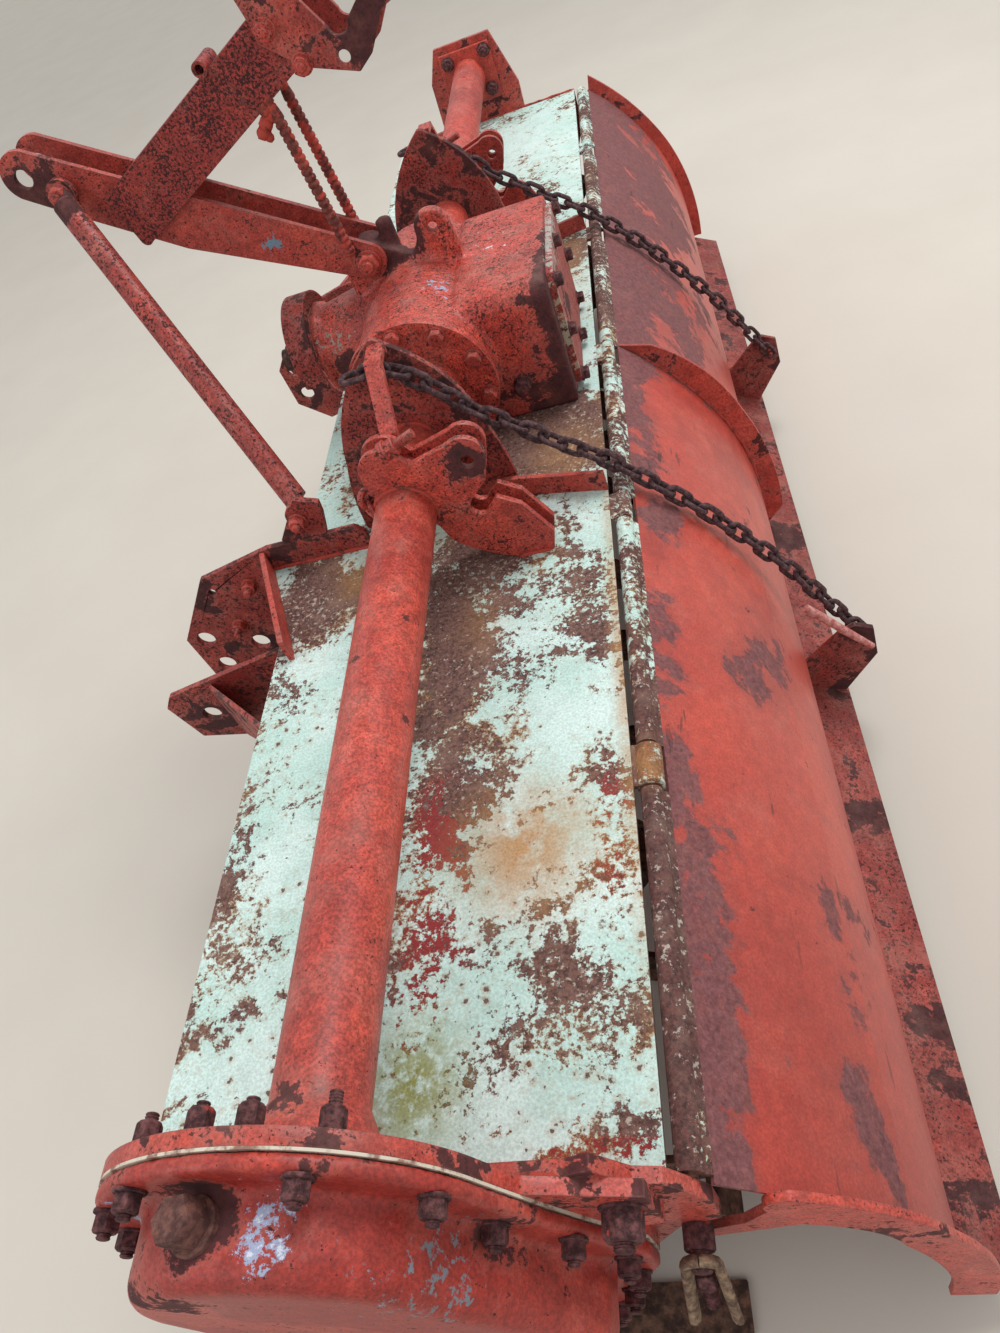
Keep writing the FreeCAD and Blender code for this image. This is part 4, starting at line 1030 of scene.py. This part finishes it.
def pin_clip():
    """Bolt with a split clip on the tailgate's end plate."""
    x, z = -240, -198
    pin = Mesh(24)
    pin.lathe(at(x, 1230.5, z), Y, [(0.0120, 0.0), (0.0125, 0.001), (0.0125, 0.019), (0.0112, 0.0205)], 24)
    pin.lathe(at(x, 1250, z), Y, [(0.0085, 0.0), (0.0085, 0.014), (0.0070, 0.0155)], 20)
    pin.finish("end_plate_bolt", "tailgate", "bolt", 40)
    clip = Mesh(25)
    crown = at(x, 1259, z)
    for side in (-1, 1):
        top = arc_points(crown, X * side, Z, 0.0125, 90, -10, 9)
        tip = at(x + 2 + 17 * side, 1285, z - 70)
        clip.sweep(top + [top[-1].lerp(tip, 0.35), top[-1].lerp(tip, 0.7), tip], 0.0060, 10, squash=0.7)
    clip.finish("split_clip", "tailgate", "tan", 60)
    nut = Mesh(26)
    nut.bolt(at(x + 2, 1256, z - 24), Vector((0.0, 0.5, -1.0)), 0.021, 0.018, washer=False, stud=0.026)
    nut.finish("clip_bolt", "tailgate", "bolt", 30)


def make_pieces():
    for side, label in ((1, "left"), (-1, "right")):
        lift_chain(side, label)
        ribbed_brace(side, label)
    casting("gearbox", "gearbox_casting", 0.0045, "cast", 5)
    casting("drive_case", "drive_case_casting", 0.0040, "case", 3)
    gearbox_bolts()
    case_bolts()
    mast_bolt()
    bracket_bolts()
    welds()
    torn_weld()
    hinge_clasp()
    chain_hook()
    shaft_guard()
    pin_clip()


# Studio

def photo_camera():
    """Camera of the photograph, worked out from the vanishing point of the tube's direction."""
    width, height = 1000.0, 1333.0
    focal = 940.0
    vanish = (534.5, -373.0)
    tilt = math.radians(18.0)
    place = Vector((-0.619, 1.407, 0.653))
    sensor = 36.0
    to_far = Vector((vanish[0] - width / 2, vanish[1] - height / 2, focal)).normalized()
    level = Vector((0, to_far.z, -to_far.y)).normalized()
    left = to_far.cross(level)
    if left.x > 0:
        left = -left
    down = level * math.cos(tilt) - left * math.sin(tilt)
    ahead = left * math.cos(tilt) + level * math.sin(tilt)
    axes = Matrix((ahead, -to_far, -down))
    right, below, forward = axes.col[0], axes.col[1], axes.col[2]
    data = bpy.data.cameras.new("photo camera")
    data.sensor_fit = "VERTICAL"
    data.sensor_height = sensor
    data.lens = focal / height * sensor
    data.clip_start = 0.02
    camera = bpy.data.objects.new("photo camera", data)
    bpy.context.collection.objects.link(camera)
    turn = Matrix((right, -below, -forward)).transposed()
    camera.matrix_world = Matrix.Translation(place) @ turn.to_4x4()
    bpy.context.scene.camera = camera


def sky():
    """Even pale light, which the camera sees a little brighter than it shines."""
    lit, seen = 0.74, 0.92
    world = bpy.data.worlds.new("studio")
    bpy.context.scene.world = world
    world.use_nodes = True
    tree = world.node_tree
    background = tree.nodes["Background"]
    path = tree.nodes.new("ShaderNodeLightPath")
    straight = tree.nodes.new("ShaderNodeMath")
    straight.operation = "MAXIMUM"
    tree.links.new(path.outputs["Is Camera Ray"], straight.inputs[0])
    tree.links.new(path.outputs["Is Transmission Ray"], straight.inputs[1])
    level = tree.nodes.new("ShaderNodeMapRange")
    tree.links.new(straight.outputs[0], level.inputs["Value"])
    level.inputs["To Min"].default_value = lit
    level.inputs["To Max"].default_value = seen
    tree.links.new(level.outputs[0], background.inputs["Strength"])
    background.inputs["Color"].default_value = (0.96, 0.98, 1.0, 1.0)


def lamp(name, place, size, power):
    data = bpy.data.lights.new(name, "AREA")
    data.shape = "DISK"
    data.size = size
    data.energy = power
    light = bpy.data.objects.new(name, data)
    bpy.context.collection.objects.link(light)
    light.location = place
    middle = Vector((-0.3, 0.2, -0.2))
    light.rotation_euler = (middle - light.location).to_track_quat("-Z", "Y").to_euler()


def ground():
    s = Shader("floor")
    color = s.mix(linear("#CBC2B6"), linear("#D6CEC2"), s.noise(3.0, 5.0))
    s.finish(color, 0.9, s.noise(120.0, 5.0), 0.001, 0.15)
    mesh = bpy.data.meshes.new("floor")
    half = 40.0
    corners = [(x * half, y * half, FLOOR_Z) for x, y in ((-1, -1), (1, -1), (1, 1), (-1, 1))]
    mesh.from_pydata(corners, [], [(0, 1, 2, 3)])
    mesh.materials.append(s.material)
    floor = bpy.data.objects.new("floor", mesh)
    bpy.context.collection.objects.link(floor)


def studio():
    bpy.context.scene.view_settings.view_transform = "Standard"
    sky()
    lamp("key", (-1.8, -1.2, 3.6), 2.2, 112.0)
    lamp("fill", (2.4, 3.0, 2.8), 3.0, 34.0)
    ground()


dress_cad()
make_pieces()
photo_camera()
studio()
